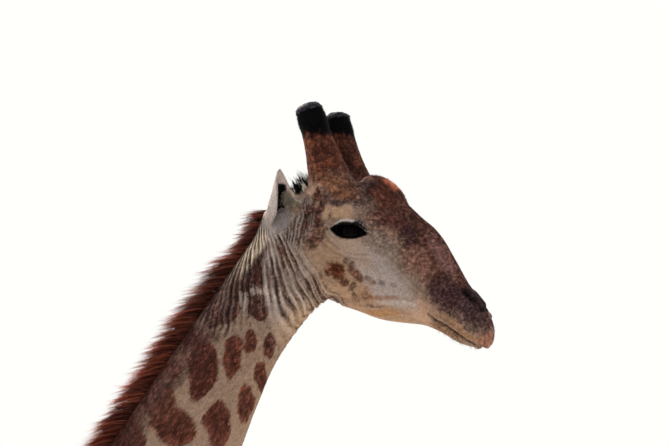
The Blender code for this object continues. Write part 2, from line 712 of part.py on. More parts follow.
def add_details(pieces):
    """Eyes, ears, hooves, mane and tail tuft, each trimmed to what it grows from."""
    for side, word in ((1, "left"), (-1, "right")):
        open_eye(pieces["head"], side)
        pieces["eye_" + word] = eyeball("eye_" + word, side, EYE_RADIUS)
        ear = make_ear("ear_" + word, side)
        trim_to(ear, pieces["head"])
        pieces["ear_" + word] = keep_largest(ear)
        for kind in LEGS:
            for claw_side, claw in ((side, "outer"), (-side, "inner")):
                name = f"hoof_{kind}_{word}_{claw}"
                pieces[name] = make_hoof(name, kind, side, claw_side)
    mane = make_mane()
    for name in ("trunk", "neck", "head"):
        trim_to(mane, pieces[name])
    pieces["mane"] = keep_largest(mane)
    tuft = tube("tail_tuft", TUFT_PATH, TUFT_RADII, 10)
    trim_to(tuft, pieces["tail"])
    pieces["tail_tuft"] = keep_largest(tuft)


# ---- Finish -----------------------------------------------------------------------

def slot_of(name):
    """The material slot of a piece, from the first word of its name."""
    first = name.split("_")[0]
    return "tail_tuft" if name == "tail_tuft" else first if first in MATERIALS else "coat"


def make_material(slot):
    colour, roughness = MATERIALS[slot]
    material = bpy.data.materials.new(slot)
    material.use_nodes = True
    shader = material.node_tree.nodes["Principled BSDF"]
    shader.inputs["Base Color"].default_value = (*colour, 1)
    shader.inputs["Roughness"].default_value = roughness
    return material


def centring_shift(pieces):
    """The move that puts the model's box over the origin, soles on the ground."""
    points = np.array([vertex.co for piece in pieces for vertex in piece.data.vertices])
    low, high = points.min(axis=0), points.max(axis=0)
    return Vector((-(low[0] + high[0]) / 2, -(low[1] + high[1]) / 2, -low[2]))


def finish_pieces(pieces):
    shift = Matrix.Translation(centring_shift(pieces.values()))
    materials = {slot: make_material(slot) for slot in MATERIALS}
    for name, piece in pieces.items():
        piece.data.transform(shift)
        piece.data.materials.clear()
        piece.data.materials.append(materials[slot_of(name)])
        piece.vertex_groups.clear()


def clear_scene():
    for old in list(bpy.data.objects):
        bpy.data.objects.remove(old)


clear_scene()
PARTS = bpy.data.collections.new("giraffe")
bpy.context.scene.collection.children.link(PARTS)
PIECES = part_flesh(make_body())
add_details(PIECES)
finish_pieces(PIECES)
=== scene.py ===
"""Looks of the giraffe: skin and coat, hair, eyes, hooves, light and camera.

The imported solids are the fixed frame. One skin stands for all the nodes of flesh, a
coat's depth inside them. Its colours are worked out once, point by point, from the
patches and the head's zones, and every tuft takes the colour of the skin at its root.
"""
import math
from collections import namedtuple

import bmesh
import bpy
import numpy as np
from mathutils import Matrix, Vector
from mathutils.bvhtree import BVHTree
from mathutils.kdtree import KDTree


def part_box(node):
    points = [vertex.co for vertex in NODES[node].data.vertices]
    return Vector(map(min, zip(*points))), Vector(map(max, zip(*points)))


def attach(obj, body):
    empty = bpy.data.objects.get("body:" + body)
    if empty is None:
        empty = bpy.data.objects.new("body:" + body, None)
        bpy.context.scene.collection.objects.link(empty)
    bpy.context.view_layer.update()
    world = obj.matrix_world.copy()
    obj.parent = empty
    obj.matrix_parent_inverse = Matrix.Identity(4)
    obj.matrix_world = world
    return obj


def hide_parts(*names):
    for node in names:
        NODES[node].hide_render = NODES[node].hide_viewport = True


# ---- Sizes, in metres --------------------------------------------------------------

EARS = ["ear_left", "ear_right"]
OSSICONES = ["ossicone_left", "ossicone_right"]
SIDES = (1, -1)                   # left and right
SIDE_WORDS = ("left", "right")
LEGS = ["leg_front_left", "leg_front_right", "leg_hind_left", "leg_hind_right"]
FLESH = ["head", "neck", "trunk", "tail"] + LEGS + OSSICONES + EARS

HEAD_PITCH = math.radians(31)     # muzzle down
NECK_RISE = math.radians(56)
WITHERS_FROM_HEAD = Vector((-1.283, 0.150, -1.463))
EAR_ROOT = (-0.235, 0.112, -0.084)          # in the head's axes: forward, out, up
EAR_ALONG = (0.00, 0.40, 0.92)
EAR_FACING = (1.00, 0.00, 0.0)
EAR_LENGTH = 0.150
OSSICONE_FOOT = (-0.131, 0.058, 0.068)
OSSICONE_TIP = (-0.307, 0.075, 0.232)
OSSICONE_LENGTH = 0.236
HORN_TOP_RADII = (0.0350, 0.0350, 0.0180)

CUT_WIDTH = 0.0010                # the thin cuts between the solids are narrower than this
EAR_SINK = 0.004                  # how far an ear's root is pushed into the head
EAR_SWELL = 0.0015                # ears are this much thickened while the skin is remeshed
SKIN_VOXEL = 0.0030               # skin cells on the head, before they grow coarser
NEAR_REACH = 0.42                 # where the skin's cells start to grow, from the head
FAR_SHARE = 0.24                  # far from the head the skin is this much shrunk to remesh
SKIN_DEPTH = 0.0040               # the coat's depth on the body
FACE_DEPTH = 0.0015               # and on the face

# The eye slit in the head's own axes, forward and up, and its tilt, nose end up.
SLIT_AT = (-0.003, 0.001)
SLIT_TILT = math.radians(20)
SLIT_HALF = 0.051
SLIT_UP = 0.0185
SLIT_DOWN = 0.0170
EYE_RADIUS = 0.033
EYE_OUT = 0.092
LID_THICKNESS = 0.0030
EYE_REGION = 0.10                 # everything of the eye lies this near the slit's middle
SNAP = 0.0011                     # corners this near the lids' edge are moved onto it
LID_DROP = 0.0055                  # how far at most the lids sink to meet the eyeball
PLUG_AT = (-0.006, 0.066, 0.000)      # the mound round the eye, a little shrunk
PLUG_RADII = (0.0785, 0.0635, 0.0470)
PLUG_TIP = math.radians(-21)
ROUNDING = 0.7                    # how much the sheet is rounded between the solids' corners

random = np.random.default_rng(7)

# ---- Numbers and meshes ------------------------------------------------------------


def corners_of(mesh):
    """Vertex positions as an array."""
    flat = np.empty(len(mesh.vertices) * 3, np.float32)
    mesh.vertices.foreach_get("co", flat)
    return flat.reshape(-1, 3).astype(float)


def set_corners(mesh, points):
    mesh.vertices.foreach_set("co", points.astype(np.float32).ravel())
    mesh.update()


def normals_of(mesh):
    flat = np.empty(len(mesh.vertices) * 3, np.float32)
    mesh.vertex_normals.foreach_get("vector", flat)
    return flat.reshape(-1, 3).astype(float)


def triangles_of(mesh):
    mesh.calc_loop_triangles()
    flat = np.empty(len(mesh.loop_triangles) * 3, np.int32)
    mesh.loop_triangles.foreach_get("vertices", flat)
    return flat.reshape(-1, 3)


def edges_of(mesh):
    ends = np.empty(len(mesh.edges) * 2, np.int32)
    mesh.edges.foreach_get("vertices", ends)
    return ends.reshape(-1, 2)


def finished(mesh, name):
    """A bmesh turned into mesh data; the bmesh is freed."""
    data = bpy.data.meshes.new(name)
    mesh.to_mesh(data)
    mesh.free()
    return data


def unit(vectors):
    return vectors / np.maximum(np.linalg.norm(vectors, axis=-1, keepdims=True), 1e-12)


def smoothstep(value, low, high):
    t = np.clip((value - low) / (high - low), 0, 1)
    return t * t * (3 - 2 * t)


def hump(value, middle, width):
    """A smooth hump of height 1 about a value."""
    return np.exp(-((value - middle) / width) ** 2)


def fade(value, low, high):
    """1 up to low, falling smoothly to 0 at high."""
    return 1 - smoothstep(value, low, high)


def mixed(one, other, share):
    """Blend of two colours, or lists of colours, by a share per point."""
    return one + (np.asarray(other) - one) * share[:, None]


def neighbour_mean(edges, values):
    """Each vertex's neighbours' average value."""
    low, high = edges.T
    count = len(values)
    degree = np.maximum(np.bincount(edges.ravel(), minlength=count), 1)[:, None]
    total = [np.bincount(low, column[high], count) + np.bincount(high, column[low], count)
             for column in values.T]
    return np.stack(total, axis=1) / degree


def ellipse_reach(at, centre, half, tilt):
    """Distance from an ellipse's centre in its own measure: 1 at its rim."""
    forward, up = (at - np.array(centre)).T
    c, s = math.cos(math.radians(tilt)), math.sin(math.radians(tilt))
    return np.hypot((forward * c + up * s) / half[0], (up * c - forward * s) / half[1])


def ellipse_share(at, ellipse, low, high):
    """1 well inside an ellipse, falling to 0 between two of its measures."""
    return fade(ellipse_reach(at, *ellipse), low, high)


def line_distance(at, path):
    """Distance from points in a plane to a broken line."""
    best = np.full(len(at), np.inf)
    for one, other in zip(np.array(path)[:-1], np.array(path)[1:]):
        run = other - one
        share = np.clip(((at - one) @ run) / (run @ run), 0, 1)
        best = np.minimum(best, np.linalg.norm(at - one - share[:, None] * run, axis=1))
    return best


LATTICE = np.random.default_rng(3).random((32, 32, 32))


def noise(points, size, shift=0.0):
    """Smooth value noise from -1 to 1, with lumps of about that size."""
    at = points / size + shift
    base = np.floor(at).astype(int)
    t = at - base
    t = t * t * (3 - 2 * t)
    total = np.zeros(len(points))
    for corner in np.ndindex(2, 2, 2):
        x, y, z = ((base + corner) % 32).T
        weight = np.prod(np.where(corner, t, 1 - t), axis=1)
        total += LATTICE[x, y, z] * weight
    return total * 2 - 1


def noises(points, size, step):
    """Three independent noises for each point."""
    return np.stack([noise(points, size, step * k) for k in range(3)], axis=1)


def placed(name, data):
    """A new object in the scene."""
    made = bpy.data.objects.new(name, data)
    bpy.context.scene.collection.objects.link(made)
    return made


def new_object(name, mesh, replaced=()):
    """A piece of the giraffe: it rides on the body and stands for the nodes named."""
    made = placed(name, mesh)
    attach(made, "root")
    if replaced:
        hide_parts(*replaced)
    return made


# ---- Frames of the head and the neck -------------------------------------------------

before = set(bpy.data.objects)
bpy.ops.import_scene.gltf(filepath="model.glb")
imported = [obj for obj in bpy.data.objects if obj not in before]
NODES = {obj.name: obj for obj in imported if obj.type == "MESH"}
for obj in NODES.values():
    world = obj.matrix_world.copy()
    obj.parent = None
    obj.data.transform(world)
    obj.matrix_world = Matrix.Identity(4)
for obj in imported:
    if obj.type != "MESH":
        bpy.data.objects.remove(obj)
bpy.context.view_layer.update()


def middle_of(node):
    low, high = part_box(node)
    return (low + high) / 2


def flipped(vector, side):
    """A vector in the head's axes, mirrored for its right side (-1)."""
    return np.array(vector) * (1, side, 1)


HEAD_AT = (middle_of("eye_left") + middle_of("eye_right")) / 2
LEFT = (middle_of("eye_left") - middle_of("eye_right")).normalized()
LEVEL = LEFT.cross(Vector((0, 0, 1))).normalized()
FORWARD = (LEVEL * math.cos(HEAD_PITCH) - Vector((0, 0, 1)) * math.sin(HEAD_PITCH)).normalized()
HEAD_AXES = np.array([FORWARD, LEFT, FORWARD.cross(LEFT)])
WITHERS = np.array(HEAD_AT + WITHERS_FROM_HEAD)
NECK_RUN = np.array((math.cos(NECK_RISE), 0, math.sin(NECK_RISE)))
DORSAL = np.array((-math.sin(NECK_RISE), 0, math.cos(NECK_RISE)))


def to_head(points):
    """World points in the head's own axes: forward, left, up."""
    return (points - np.array(HEAD_AT)) @ HEAD_AXES.T


def side_view(points):
    """World points seen from the head's side: forward, up."""
    return to_head(points)[:, [0, 2]]


def from_head(local):
    return np.array(local) @ HEAD_AXES + np.array(HEAD_AT)


def turned(local):
    """A direction in the head's axes as a world direction."""
    return np.array(local) @ HEAD_AXES


def to_neck(points):
    """(distance up the neck from the withers, left, depth under the dorsal line)."""
    away = points - WITHERS
    return np.column_stack([away @ NECK_RUN, away[:, 1], -(away @ DORSAL)])


# ---- Skin: one closed surface from the nodes of flesh ----------------------------------


def tree_of(mesh):
    return BVHTree.FromPolygons([v.co.copy() for v in mesh.vertices],
                                [tuple(p.vertices) for p in mesh.polygons])


TREES = {name: tree_of(NODES[name].data) for name in FLESH if name not in EARS}


def is_cut(face, others):
    """Whether a face belongs to a thin cut: another node's face lies against it."""
    centre = face.calc_center_median()
    for tree in others:
        place, normal, _, _ = tree.find_nearest(centre, CUT_WIDTH)
        if place is not None and normal.dot(face.normal) < -0.9:
            return True
    return False


def outer_sheet(name):
    """A flesh node's outer faces, without those of the thin cuts."""
    mesh = bmesh.new()
    mesh.from_mesh(NODES[name].data)
    others = [tree for other, tree in TREES.items() if other != name]
    bmesh.ops.delete(mesh, geom=[face for face in mesh.faces if is_cut(face, others)], context="FACES")
    return mesh


def sunk_ear(name):
    """An ear, closed and thickened, its root pushed into the head so that the two overlap."""
    mesh = bmesh.new()
    mesh.from_mesh(NODES[name].data)
    mesh.normal_update()
    for vert in mesh.verts:
        place, normal, _, _ = TREES["head"].find_nearest(vert.co, CUT_WIDTH * 1.5)
        vert.co += vert.normal * EAR_SWELL if place is None else -normal * EAR_SINK
    return mesh


def eye_plug(side):
    """Fills an eye's opening flush with the mound round it, to be carved again in finer cells."""
    mesh = bmesh.new()
    bmesh.ops.create_uvsphere(mesh, u_segments=48, v_segments=32, radius=1.0)
    size = Matrix.Rotation(PLUG_TIP, 4, "Y") @ Matrix.Diagonal((*PLUG_RADII, 1))
    mesh.transform(size)
    for vert in mesh.verts:
        vert.co = Vector(from_head(np.array(vert.co) + flipped(PLUG_AT, side)))
    return mesh


def add_mesh(whole, part):
    data = finished(part, "part")
    whole.from_mesh(data)
    bpy.data.meshes.remove(data)


def flesh_shell():
    """All the flesh as one finely divided sheet, rounded between the solids' corners."""
    whole = bmesh.new()
    for name in FLESH:
        if name not in EARS:
            add_mesh(whole, outer_sheet(name))
    bmesh.ops.remove_doubles(whole, verts=whole.verts, dist=CUT_WIDTH * 0.6)
    for name in EARS:
        add_mesh(whole, sunk_ear(name))
    for side in SIDES:
        add_mesh(whole, eye_plug(side))
    for _ in range(2):
        bmesh.ops.subdivide_edges(whole, edges=whole.edges, cuts=1, smooth=ROUNDING, use_grid_fill=True)
    return finished(whole, "flesh")


def squeeze_table():
    """Distance from the head against squeezed distance: cells far away come out coarser."""
    distance = np.linspace(0, 6, 3001)
    slope = FAR_SHARE + (1 - FAR_SHARE) / (1 + (distance / NEAR_REACH) ** 4)
    squeezed = np.r_[0, np.cumsum((slope[1:] + slope[:-1]) / 2 * np.diff(distance))]
    return distance, squeezed


def remap(points, old, new):
    """Moves points along the rays from the head so that distance old becomes new."""
    centre = from_head((0.08, 0, 0))
    away = points - centre
    reach = np.linalg.norm(away, axis=1)
    return centre + away * (np.interp(reach, old, new) / np.maximum(reach, 1e-9))[:, None]


def remeshed(data, voxel):
    made = placed("remesh", data)
    modifier = made.modifiers.new("remesh", "REMESH")
    modifier.mode = "VOXEL"
    modifier.voxel_size = voxel
    out = bpy.data.meshes.new_from_object(made.evaluated_get(bpy.context.evaluated_depsgraph_get()))
    bpy.data.objects.remove(made)
    return out


def relaxed(mesh, points, steps):
    """Taubin smoothing: each pass pulls in, then pushes out a little more, so forms keep their size."""
    edges = edges_of(mesh)
    for push in (0.5, -0.52) * steps:
        points = points + push * (neighbour_mean(edges, points) - points)
    return points


FINE_SPOTS = [((-0.002, 0.11, 0.0), 0.075), ((0.33, 0.04, -0.02), 0.055), ((0.36, 0.03, -0.10), 0.070)]


def refine(data):
    """Halves the skin's cells round the eyes, nostrils and mouth."""
    local = to_head(corners_of(data))
    local[:, 1] = np.abs(local[:, 1])
    near = np.zeros(len(local), bool)
    for spot, reach in FINE_SPOTS:
        near |= np.linalg.norm(local - np.array(spot), axis=1) < reach
    mesh = bmesh.new()
    mesh.from_mesh(data)
    mesh.verts.ensure_lookup_table()
    edges = [edge for edge in mesh.edges if near[edge.verts[0].index] and near[edge.verts[1].index]]
    bmesh.ops.subdivide_edges(mesh, edges=edges, cuts=1, use_grid_fill=True)
    mesh.to_mesh(data)
    mesh.free()


# ---- Skin: lids, nostrils, lips and folds ----------------------------------------------

# Grooves of the head, on both sides: points forward and up, half-width, depth.
Groove = namedtuple("Groove", "path width depth")
GROOVES = {
    "mouth": Groove([(0.276, -0.088), (0.300, -0.093), (0.324, -0.091), (0.365, -0.095),
                     (0.396, -0.098), (0.420, -0.099), (0.450, -0.101)], 0.0034, 0.0070),
    "nostril": Groove([(0.332, 0.004), (0.352, 0.001), (0.374, -0.005), (0.392, -0.015)], 0.0046, 0.0110),
    "nostril_fold": Groove([(0.318, -0.004), (0.345, -0.010), (0.372, -0.021)], 0.0040, 0.0020),
    "lip_fold": Groove([(0.300, -0.078), (0.335, -0.077), (0.370, -0.080)], 0.0050, 0.0016),
    "muzzle_fold_high": Groove([(0.160, -0.002), (0.194, -0.008), (0.223, -0.003), (0.250, 0.010)],
                               0.0040, 0.0018),
    "muzzle_fold_mid": Groove([(0.135, -0.011), (0.170, -0.025), (0.205, -0.034), (0.267, -0.045)],
                              0.0040, 0.0018),
    "muzzle_fold_low": Groove([(0.112, -0.017), (0.156, -0.033), (0.200, -0.046), (0.246, -0.061)],
                              0.0045, 0.0020),
    "cheek_line": Groove([(0.030, -0.170), (0.094, -0.130), (0.171, -0.088), (0.230, -0.070)],
                         0.0060, 0.0018),
    "jaw_line": Groove([(0.109, -0.162), (0.156, -0.145), (0.215, -0.128), (0.290, -0.108)],
                       0.0050, 0.0020),
    "lower_lip": Groove([(0.296, -0.104), (0.330, -0.106), (0.372, -0.108)], 0.0035, 0.0014),
    "brow_fold_a": Groove([(-0.034, 0.050), (-0.004, 0.056), (0.028, 0.050), (0.052, 0.034)],
                          0.0030, 0.0022),
    "brow_fold_b": Groove([(-0.012, 0.067), (0.020, 0.066), (0.048, 0.052), (0.068, 0.036)],
                          0.0030, 0.0018),
    "brow_fold_c": Groove([(0.012, 0.078), (0.044, 0.070), (0.070, 0.052), (0.084, 0.036)],
                          0.0030, 0.0012),
    "pouch_fold_a": Groove([(-0.062, -0.030), (-0.040, -0.043), (-0.008, -0.049), (0.035, -0.044),
                            (0.066, -0.024)], 0.0030, 0.0018),
    "pouch_fold_b": Groove([(-0.074, -0.036), (-0.050, -0.055), (-0.014, -0.063), (0.030, -0.058),
                            (0.074, -0.036)], 0.0035, 0.0014),
}
HEAP = 0.35                        # how much of a groove's depth is heaped up beside it

# Ellipses of the head seen from the side, where a detail is strongest: centre forward and up,
# half-length and half-height, tilt in degrees.
Ellipse = namedtuple("Ellipse", "at half tilt")
EAR_FOOT = Ellipse((-0.186, -0.062), (0.034, 0.036), 0)
TEMPLE_FOLDS = Ellipse((-0.138, -0.040), (0.072, 0.046), -60)
TEMPLE_SPOTS = Ellipse((-0.105, -0.025), (0.055, 0.085), 15)
CHEEK_STREAKS = Ellipse((-0.130, -0.190), (0.100, 0.110), 10)
PALE_BAND = Ellipse((-0.105, -0.205), (0.140, 0.026), -49)
CHIN = Ellipse((0.355, -0.118), (0.070, 0.022), 5)
MUZZLE = Ellipse((0.36, -0.05), (0.09, 0.05), 0)

# The loose skin's folds fan out from behind the poll. Angles in degrees.
FAN_AT = (-0.427, 0.100)
FAN_FROM, FAN_TO = -28.0, -84.0
FAN_STEP_NEAR, FAN_STEP_FAR = 1.75, 2.0
FAN_DEPTH = 0.0050
TEMPLE_ACROSS = (0.866, 0.5)       # the way across the folds of the temple, forward and up
TEMPLE_STEP = 0.0085
TEMPLE_DEPTH = 0.0035


def slit_place(local):
    """Points in the eye slit's own axes: along it towards the nose, and across it upward."""
    along, up = local[:, 0] - SLIT_AT[0], local[:, 2] - SLIT_AT[1]
    c, s = math.cos(SLIT_TILT), math.sin(SLIT_TILT)
    return along * c + up * s, up * c - along * s


def from_slit(u, v, left):
    """The way back: points in the head's axes."""
    c, s = math.cos(SLIT_TILT), math.sin(SLIT_TILT)
    return np.stack([SLIT_AT[0] + u * c - v * s, left, SLIT_AT[1] + u * s + v * c], axis=-1)


def slit_edge(u, upper):
    """How far the lid's edge lies from the slit's axis."""
    arch = np.maximum(1 - np.clip(np.abs(u / SLIT_HALF), 0, 1) ** 2.2, 0)
    return np.where(upper, SLIT_UP, SLIT_DOWN) * arch


def groove_depth(local):
    """Depth of the head's grooves at points in its own axes, heaped edges counting below zero."""
    depth = np.zeros(len(local))
    near = np.linalg.norm(local - np.array((0.15, 0, -0.03)), axis=1) < 0.42
    side = local[near][:, [0, 2]]
    total = np.zeros(len(side))
    for groove in GROOVES.values():
        away = line_distance(side, groove.path) / groove.width
        total += groove.depth * (hump(away, 0, 1) - HEAP * hump(away, 2.1, 1))
    depth[near] = total
    return depth


def temple_axes(points):
    """Points from the side, in the axes of the temple's folds: across them, and down along them."""
    forward, _, up = to_head(points).T
    c, s = TEMPLE_ACROSS
    return forward * c + up * s, forward * s - up * c


def temple_folds(points):
    """The upright folds before the ear: (how far into a valley, 0 to 1; how strong they are)."""
    across = temple_axes(points)[0] + 0.010 * noise(points, 0.04, 2.0)
    strength = ellipse_share(side_view(points), TEMPLE_FOLDS, 0.6, 1.15)
    return fold_waves(across, TEMPLE_STEP, 0.2), strength * np.clip(0.7 + noise(points, 0.03, 6.0), 0, 1)


def fan_place(points):
    """Points about the middle of the fan of folds: angle in degrees, distance in metres."""
    local = to_head(points)
    along, up = local[:, 0] - FAN_AT[0], local[:, 2] - FAN_AT[1]
    return np.degrees(np.arctan2(up, along)), np.hypot(along, up)


def fold_waves(angle, step, shift):
    """Valleys between 0 and 1, a step apart, each with a depth of its own."""
    own = np.random.default_rng(int(shift * 10)).uniform(0.30, 1.0, 400)
    fold = np.round(angle / step + shift).astype(int) % 400
    return (0.5 + 0.5 * np.cos(2 * math.pi * (angle / step + shift))) ** 2 * own[fold]


def fan(points):
    """The fan of folds: (how far into a valley, 0 to 1; how strong the folds are).

    The head is turned to the right, so its left side is stretched nearly smooth.
    """
    angle, reach = fan_place(points)
    angle = angle + 2.4 * noise(points, 0.14) + 0.7 * noise(points, 0.035, 5.0)
    throat = throat_share(points)
    strength = smoothstep(-angle, -FAN_FROM, -FAN_FROM + 6) * fade(-angle, -FAN_TO - 5, -FAN_TO)
    strength *= smoothstep(reach, 0.15, 0.22)
    strength *= fade(reach, 0.45 + 0.05 * throat, 0.60 + 0.05 * throat)
    strength *= smoothstep(ellipse_reach(side_view(points), *EAR_FOOT), 0.8, 1.3)
    strength *= 0.15 + 0.85 * smoothstep(-to_head(points)[:, 1], -0.01, 0.045)
    strength *= 0.95 + 0.45 * noise(points, 0.06, 9.0)
    far = smoothstep(reach, 0.30, 0.42)
    coarse = fold_waves(angle, FAN_STEP_NEAR, 0.0)
    fine = fold_waves(angle, FAN_STEP_FAR, 0.3)
    fine = np.maximum(fine, 0.45 * fold_waves(angle, FAN_STEP_FAR * 0.47, 0.7))
    return coarse * (1 - far) + fine * far, strength


def throat_share(points):
    """1 on the throat's front, 0 on the sides and the nape of the neck."""
    up_neck, _, under = to_neck(points).T
    return smoothstep(under, 0.13, 0.22) * smoothstep(up_neck, 1.40, 1.52)


def ear_share(points):
    """1 on the ears, 0 elsewhere."""
    share = np.zeros(len(points))
    for side in SIDES:
        along, across, _, _ = ear_place(points, side)
        here = smoothstep(along, -0.02, 0.10) * fade(np.abs(across), 0.28, 0.36)
        share = np.maximum(share, here)
    return share


def face_share(points):
    """1 on the face, falling to 0 on the neck."""
    local = to_head(points)
    reach = np.linalg.norm(local - np.array((0.10, 0, 0)), axis=1)
    in_front = smoothstep(local[:, 0] + 1.08 * local[:, 2], -0.275, -0.195)
    return fade(reach, 0.36, 0.50) * in_front


def carve_lids(points):
    """Opens the eyes: the lids close round the eyeball, and the skin between them sinks behind it."""
    local = to_head(points)
    side, out = np.sign(local[:, 1]), np.abs(local[:, 1])
    u, v = slit_place(local)
    reach, upper = np.hypot(u, v), v > 0
    near = (out > 0.04) & (reach < EYE_REGION)
    between = near & (np.abs(u) < SLIT_HALF)
    edge = slit_edge(u, upper)
    gap = np.abs(v) - edge
    ball = EYE_OUT + np.sqrt(np.maximum(EYE_RADIUS ** 2 - u ** 2 - v ** 2, 0))
    on_ball = reach < EYE_RADIUS * 0.95
    drop = np.where(on_ball, np.clip(out - ball - LID_THICKNESS, 0, LID_DROP), LID_DROP)
    ease = fade(np.abs(u), SLIT_HALF * 0.9, SLIT_HALF * 1.35)
    close = hump(np.maximum(gap, 0), 0, 0.008)
    rim = hump(gap, 0.0035, 0.0030) * np.where(upper, 0.0034, 0.0020)
    crease = hump(gap, 0.0125, 0.0030) * np.where(upper, 0.0034, 0.0014)
    lid = out + (rim - crease - drop * close) * ease
    floor = np.where(on_ball, ball - 0.0035, out - drop - 0.0045)
    v_new = np.where(between & (np.abs(gap) < SNAP), np.sign(v) * edge, v)
    out_new = np.where(between & (gap < -SNAP), floor, np.where(near, lid, out))
    return np.where(near[:, None], from_head(from_slit(u, v_new, side * out_new)), points)


def sculpt(data):
    """Insets the skin by the coat's depth and works the head's details into it."""
    points, normals = corners_of(data), normals_of(data)
    depth = SKIN_DEPTH + (FACE_DEPTH - SKIN_DEPTH) * face_share(points)
    depth = depth * (1 - 0.9 * ear_share(points)) + groove_depth(to_head(points))
    valley, strength = fan(points)
    depth += FAN_DEPTH * (valley - 0.25) * strength * (1 + 1.6 * throat_share(points))
    valley, strength = temple_folds(points)
    depth += TEMPLE_DEPTH * (valley - 0.25) * strength
    set_corners(data, carve_lids(points - normals * depth[:, None]))


def make_skin():
    distance, squeezed = squeeze_table()
    data = flesh_shell()
    set_corners(data, remap(corners_of(data), distance, squeezed))
    skin = remeshed(data, SKIN_VOXEL)
    points = relaxed(skin, corners_of(skin), 14)
    set_corners(skin, remap(points, squeezed, distance))
    refine(skin)
    sculpt(skin)
    skin.name = "skin"
    return skin


# ---- Colours ---------------------------------------------------------------------------

LIGHT_LEVEL = 0.74                 # how much of a surface's colour the studio's light brings back


def seen(red, green, blue):
    """The surface colour that comes out as this display colour in the studio's light."""
    values = np.array([red, green, blue]) / 255
    linear = np.where(values <= 0.04045, values / 12.92, ((values + 0.055) / 1.055) ** 2.4)
    return np.minimum(linear / LIGHT_LEVEL, 0.9)


# The net between the patches, the patches, the folds, the face and the ears.
NET = 0.74 * seen(140, 115, 98)
NET_PALE = 0.80 * seen(166, 138, 118)
PATCH = seen(76, 42, 34)
PATCH_CORE = seen(50, 27, 23)
PATCH_WARM = seen(98, 58, 44)
CREAM = seen(178, 163, 154)
# Painted highlight on the ridges of the neck's folds.
RIDGE_HIGHLIGHT = 1.35 * CREAM
TEMPLE_CREAM = 0.65 * CREAM
# Painted shade in the valleys of the folds.
FOLD_SHADE = seen(40, 26, 24)
STREAK_BROWN = seen(66, 38, 30)
THROAT = seen(184, 146, 108)
# A paler painted shade for the valleys of the throat's folds.
THROAT_FOLD_SHADE = 2.2 * FOLD_SHADE
FACE_PALE = seen(134, 112, 98)
FACE_DARK = seen(78, 50, 42)
LID_PALE = seen(214, 206, 200)
EAR_GREY = seen(158, 147, 144)
EAR_LOW = seen(124, 112, 106)
EAR_INNER = seen(176, 160, 150)
EAR_FOOT_GREY = seen(132, 124, 124)
# Painted shade: near black deep in the ears' cups, over their dark inner hair.
HOLLOW_SHADE = seen(5, 5, 5)

# The ossicones, the crest and the long hair.
HORN_BROWN = seen(88, 50, 36)
HORN_DARK = seen(62, 35, 28)
CREST = seen(66, 38, 33)
BLACK = seen(3, 2, 4)
# Painted highlight: the sunlit strip along the top of the upper neck, under the mane.
NAPE_HIGHLIGHT = (0.90, 0.74, 0.56)
MANE_DARK = seen(88, 52, 44)
MANE_RED = seen(170, 98, 76)
TAIL_HAIR = seen(24, 20, 20)
BRISTLE = seen(60, 46, 40)
EAR_WHITE = (0.90, 0.80, 0.68)
POLL_DARK = seen(3, 3, 4)
POLL_CREAM = (0.88, 0.78, 0.64)

# Hooves, worn horn, eyes and the studio.
HOOF_DARK = (0.035, 0.026, 0.020)
HOOF_PALE = (0.16, 0.125, 0.095)
HORN_PIT = (0.006, 0.005, 0.009)
HORN_BONE = (0.06, 0.055, 0.075)
IRIS = seen(9, 6, 5)
IRIS_RIM = seen(6, 4, 4)
EYE_BACK = seen(5, 4, 4)
SKY_BEHIND = (0.50, 0.50, 0.52)
SKY_AHEAD = (1.0, 1.0, 0.97)
SUNLIGHT = (1.0, 0.93, 0.80)
FLOOR_COLOURS = (0.74, 0.73, 0.70), (0.80, 0.79, 0.77)

# Where the ossicones turn black, as a share of their height, and how much lower that is in front.
BLACK_TOPS = {1: (0.68, 0.6), -1: (0.61, 1.8)}

# The upper neck's patches on the right side: forward of and above the withers, half-width,
# half-height, tilt in degrees.
Patch = namedtuple("Patch", "x z half_x half_z tilt")
NECK_PATCHES = [
    Patch(0.848, 1.119, 0.036, 0.084, 8), Patch(0.922, 1.144, 0.025, 0.064, 10),
    Patch(0.967, 1.188, 0.018, 0.030, 5), Patch(1.022, 1.181, 0.018, 0.032, 5),
    Patch(1.002, 1.106, 0.021, 0.038, -4), Patch(0.967, 1.025, 0.026, 0.052, -6),
    Patch(0.891, 0.969, 0.032, 0.060, 2), Patch(0.784, 0.968, 0.055, 0.060, 20),
    Patch(0.741, 1.052, 0.036, 0.072, -42), Patch(0.653, 0.945, 0.050, 0.060, -20),
    Patch(0.764, 1.122, 0.026, 0.034, -30), Patch(0.993, 1.278, 0.030, 0.040, 5),
    Patch(0.919, 1.288, 0.030, 0.050, 2), Patch(0.957, 1.352, 0.024, 0.034, 4),
    Patch(0.999, 1.374, 0.023, 0.046, 4), Patch(0.988, 1.438, 0.034, 0.046, 6),
    Patch(0.938, 1.412, 0.024, 0.062, -28), Patch(0.861, 1.330, 0.024, 0.056, -35),
    Patch(0.880, 1.270, 0.028, 0.040, -30), Patch(0.820, 1.225, 0.026, 0.050, -38),
    Patch(0.700, 0.860, 0.060, 0.050, 10), Patch(0.820, 0.850, 0.045, 0.050, 0),
    Patch(0.905, 0.868, 0.028, 0.040, 0), Patch(0.600, 0.830, 0.035, 0.055, -30),
]

# The brown mask of the upper face: its lower edge, forward and up.
MASK = [(-0.16, 0.120), (-0.06, 0.100), (-0.03, 0.085), (0.00, 0.078), (0.026, 0.058), (0.057, 0.040),
        (0.09, 0.037), (0.125, 0.032), (0.15, 0.000), (0.186, -0.018), (0.235, -0.028), (0.262, -0.056),
        (0.30, -0.070), (0.34, -0.067), (0.38, -0.066), (0.415, -0.062), (0.435, -0.045), (0.46, -0.015)]

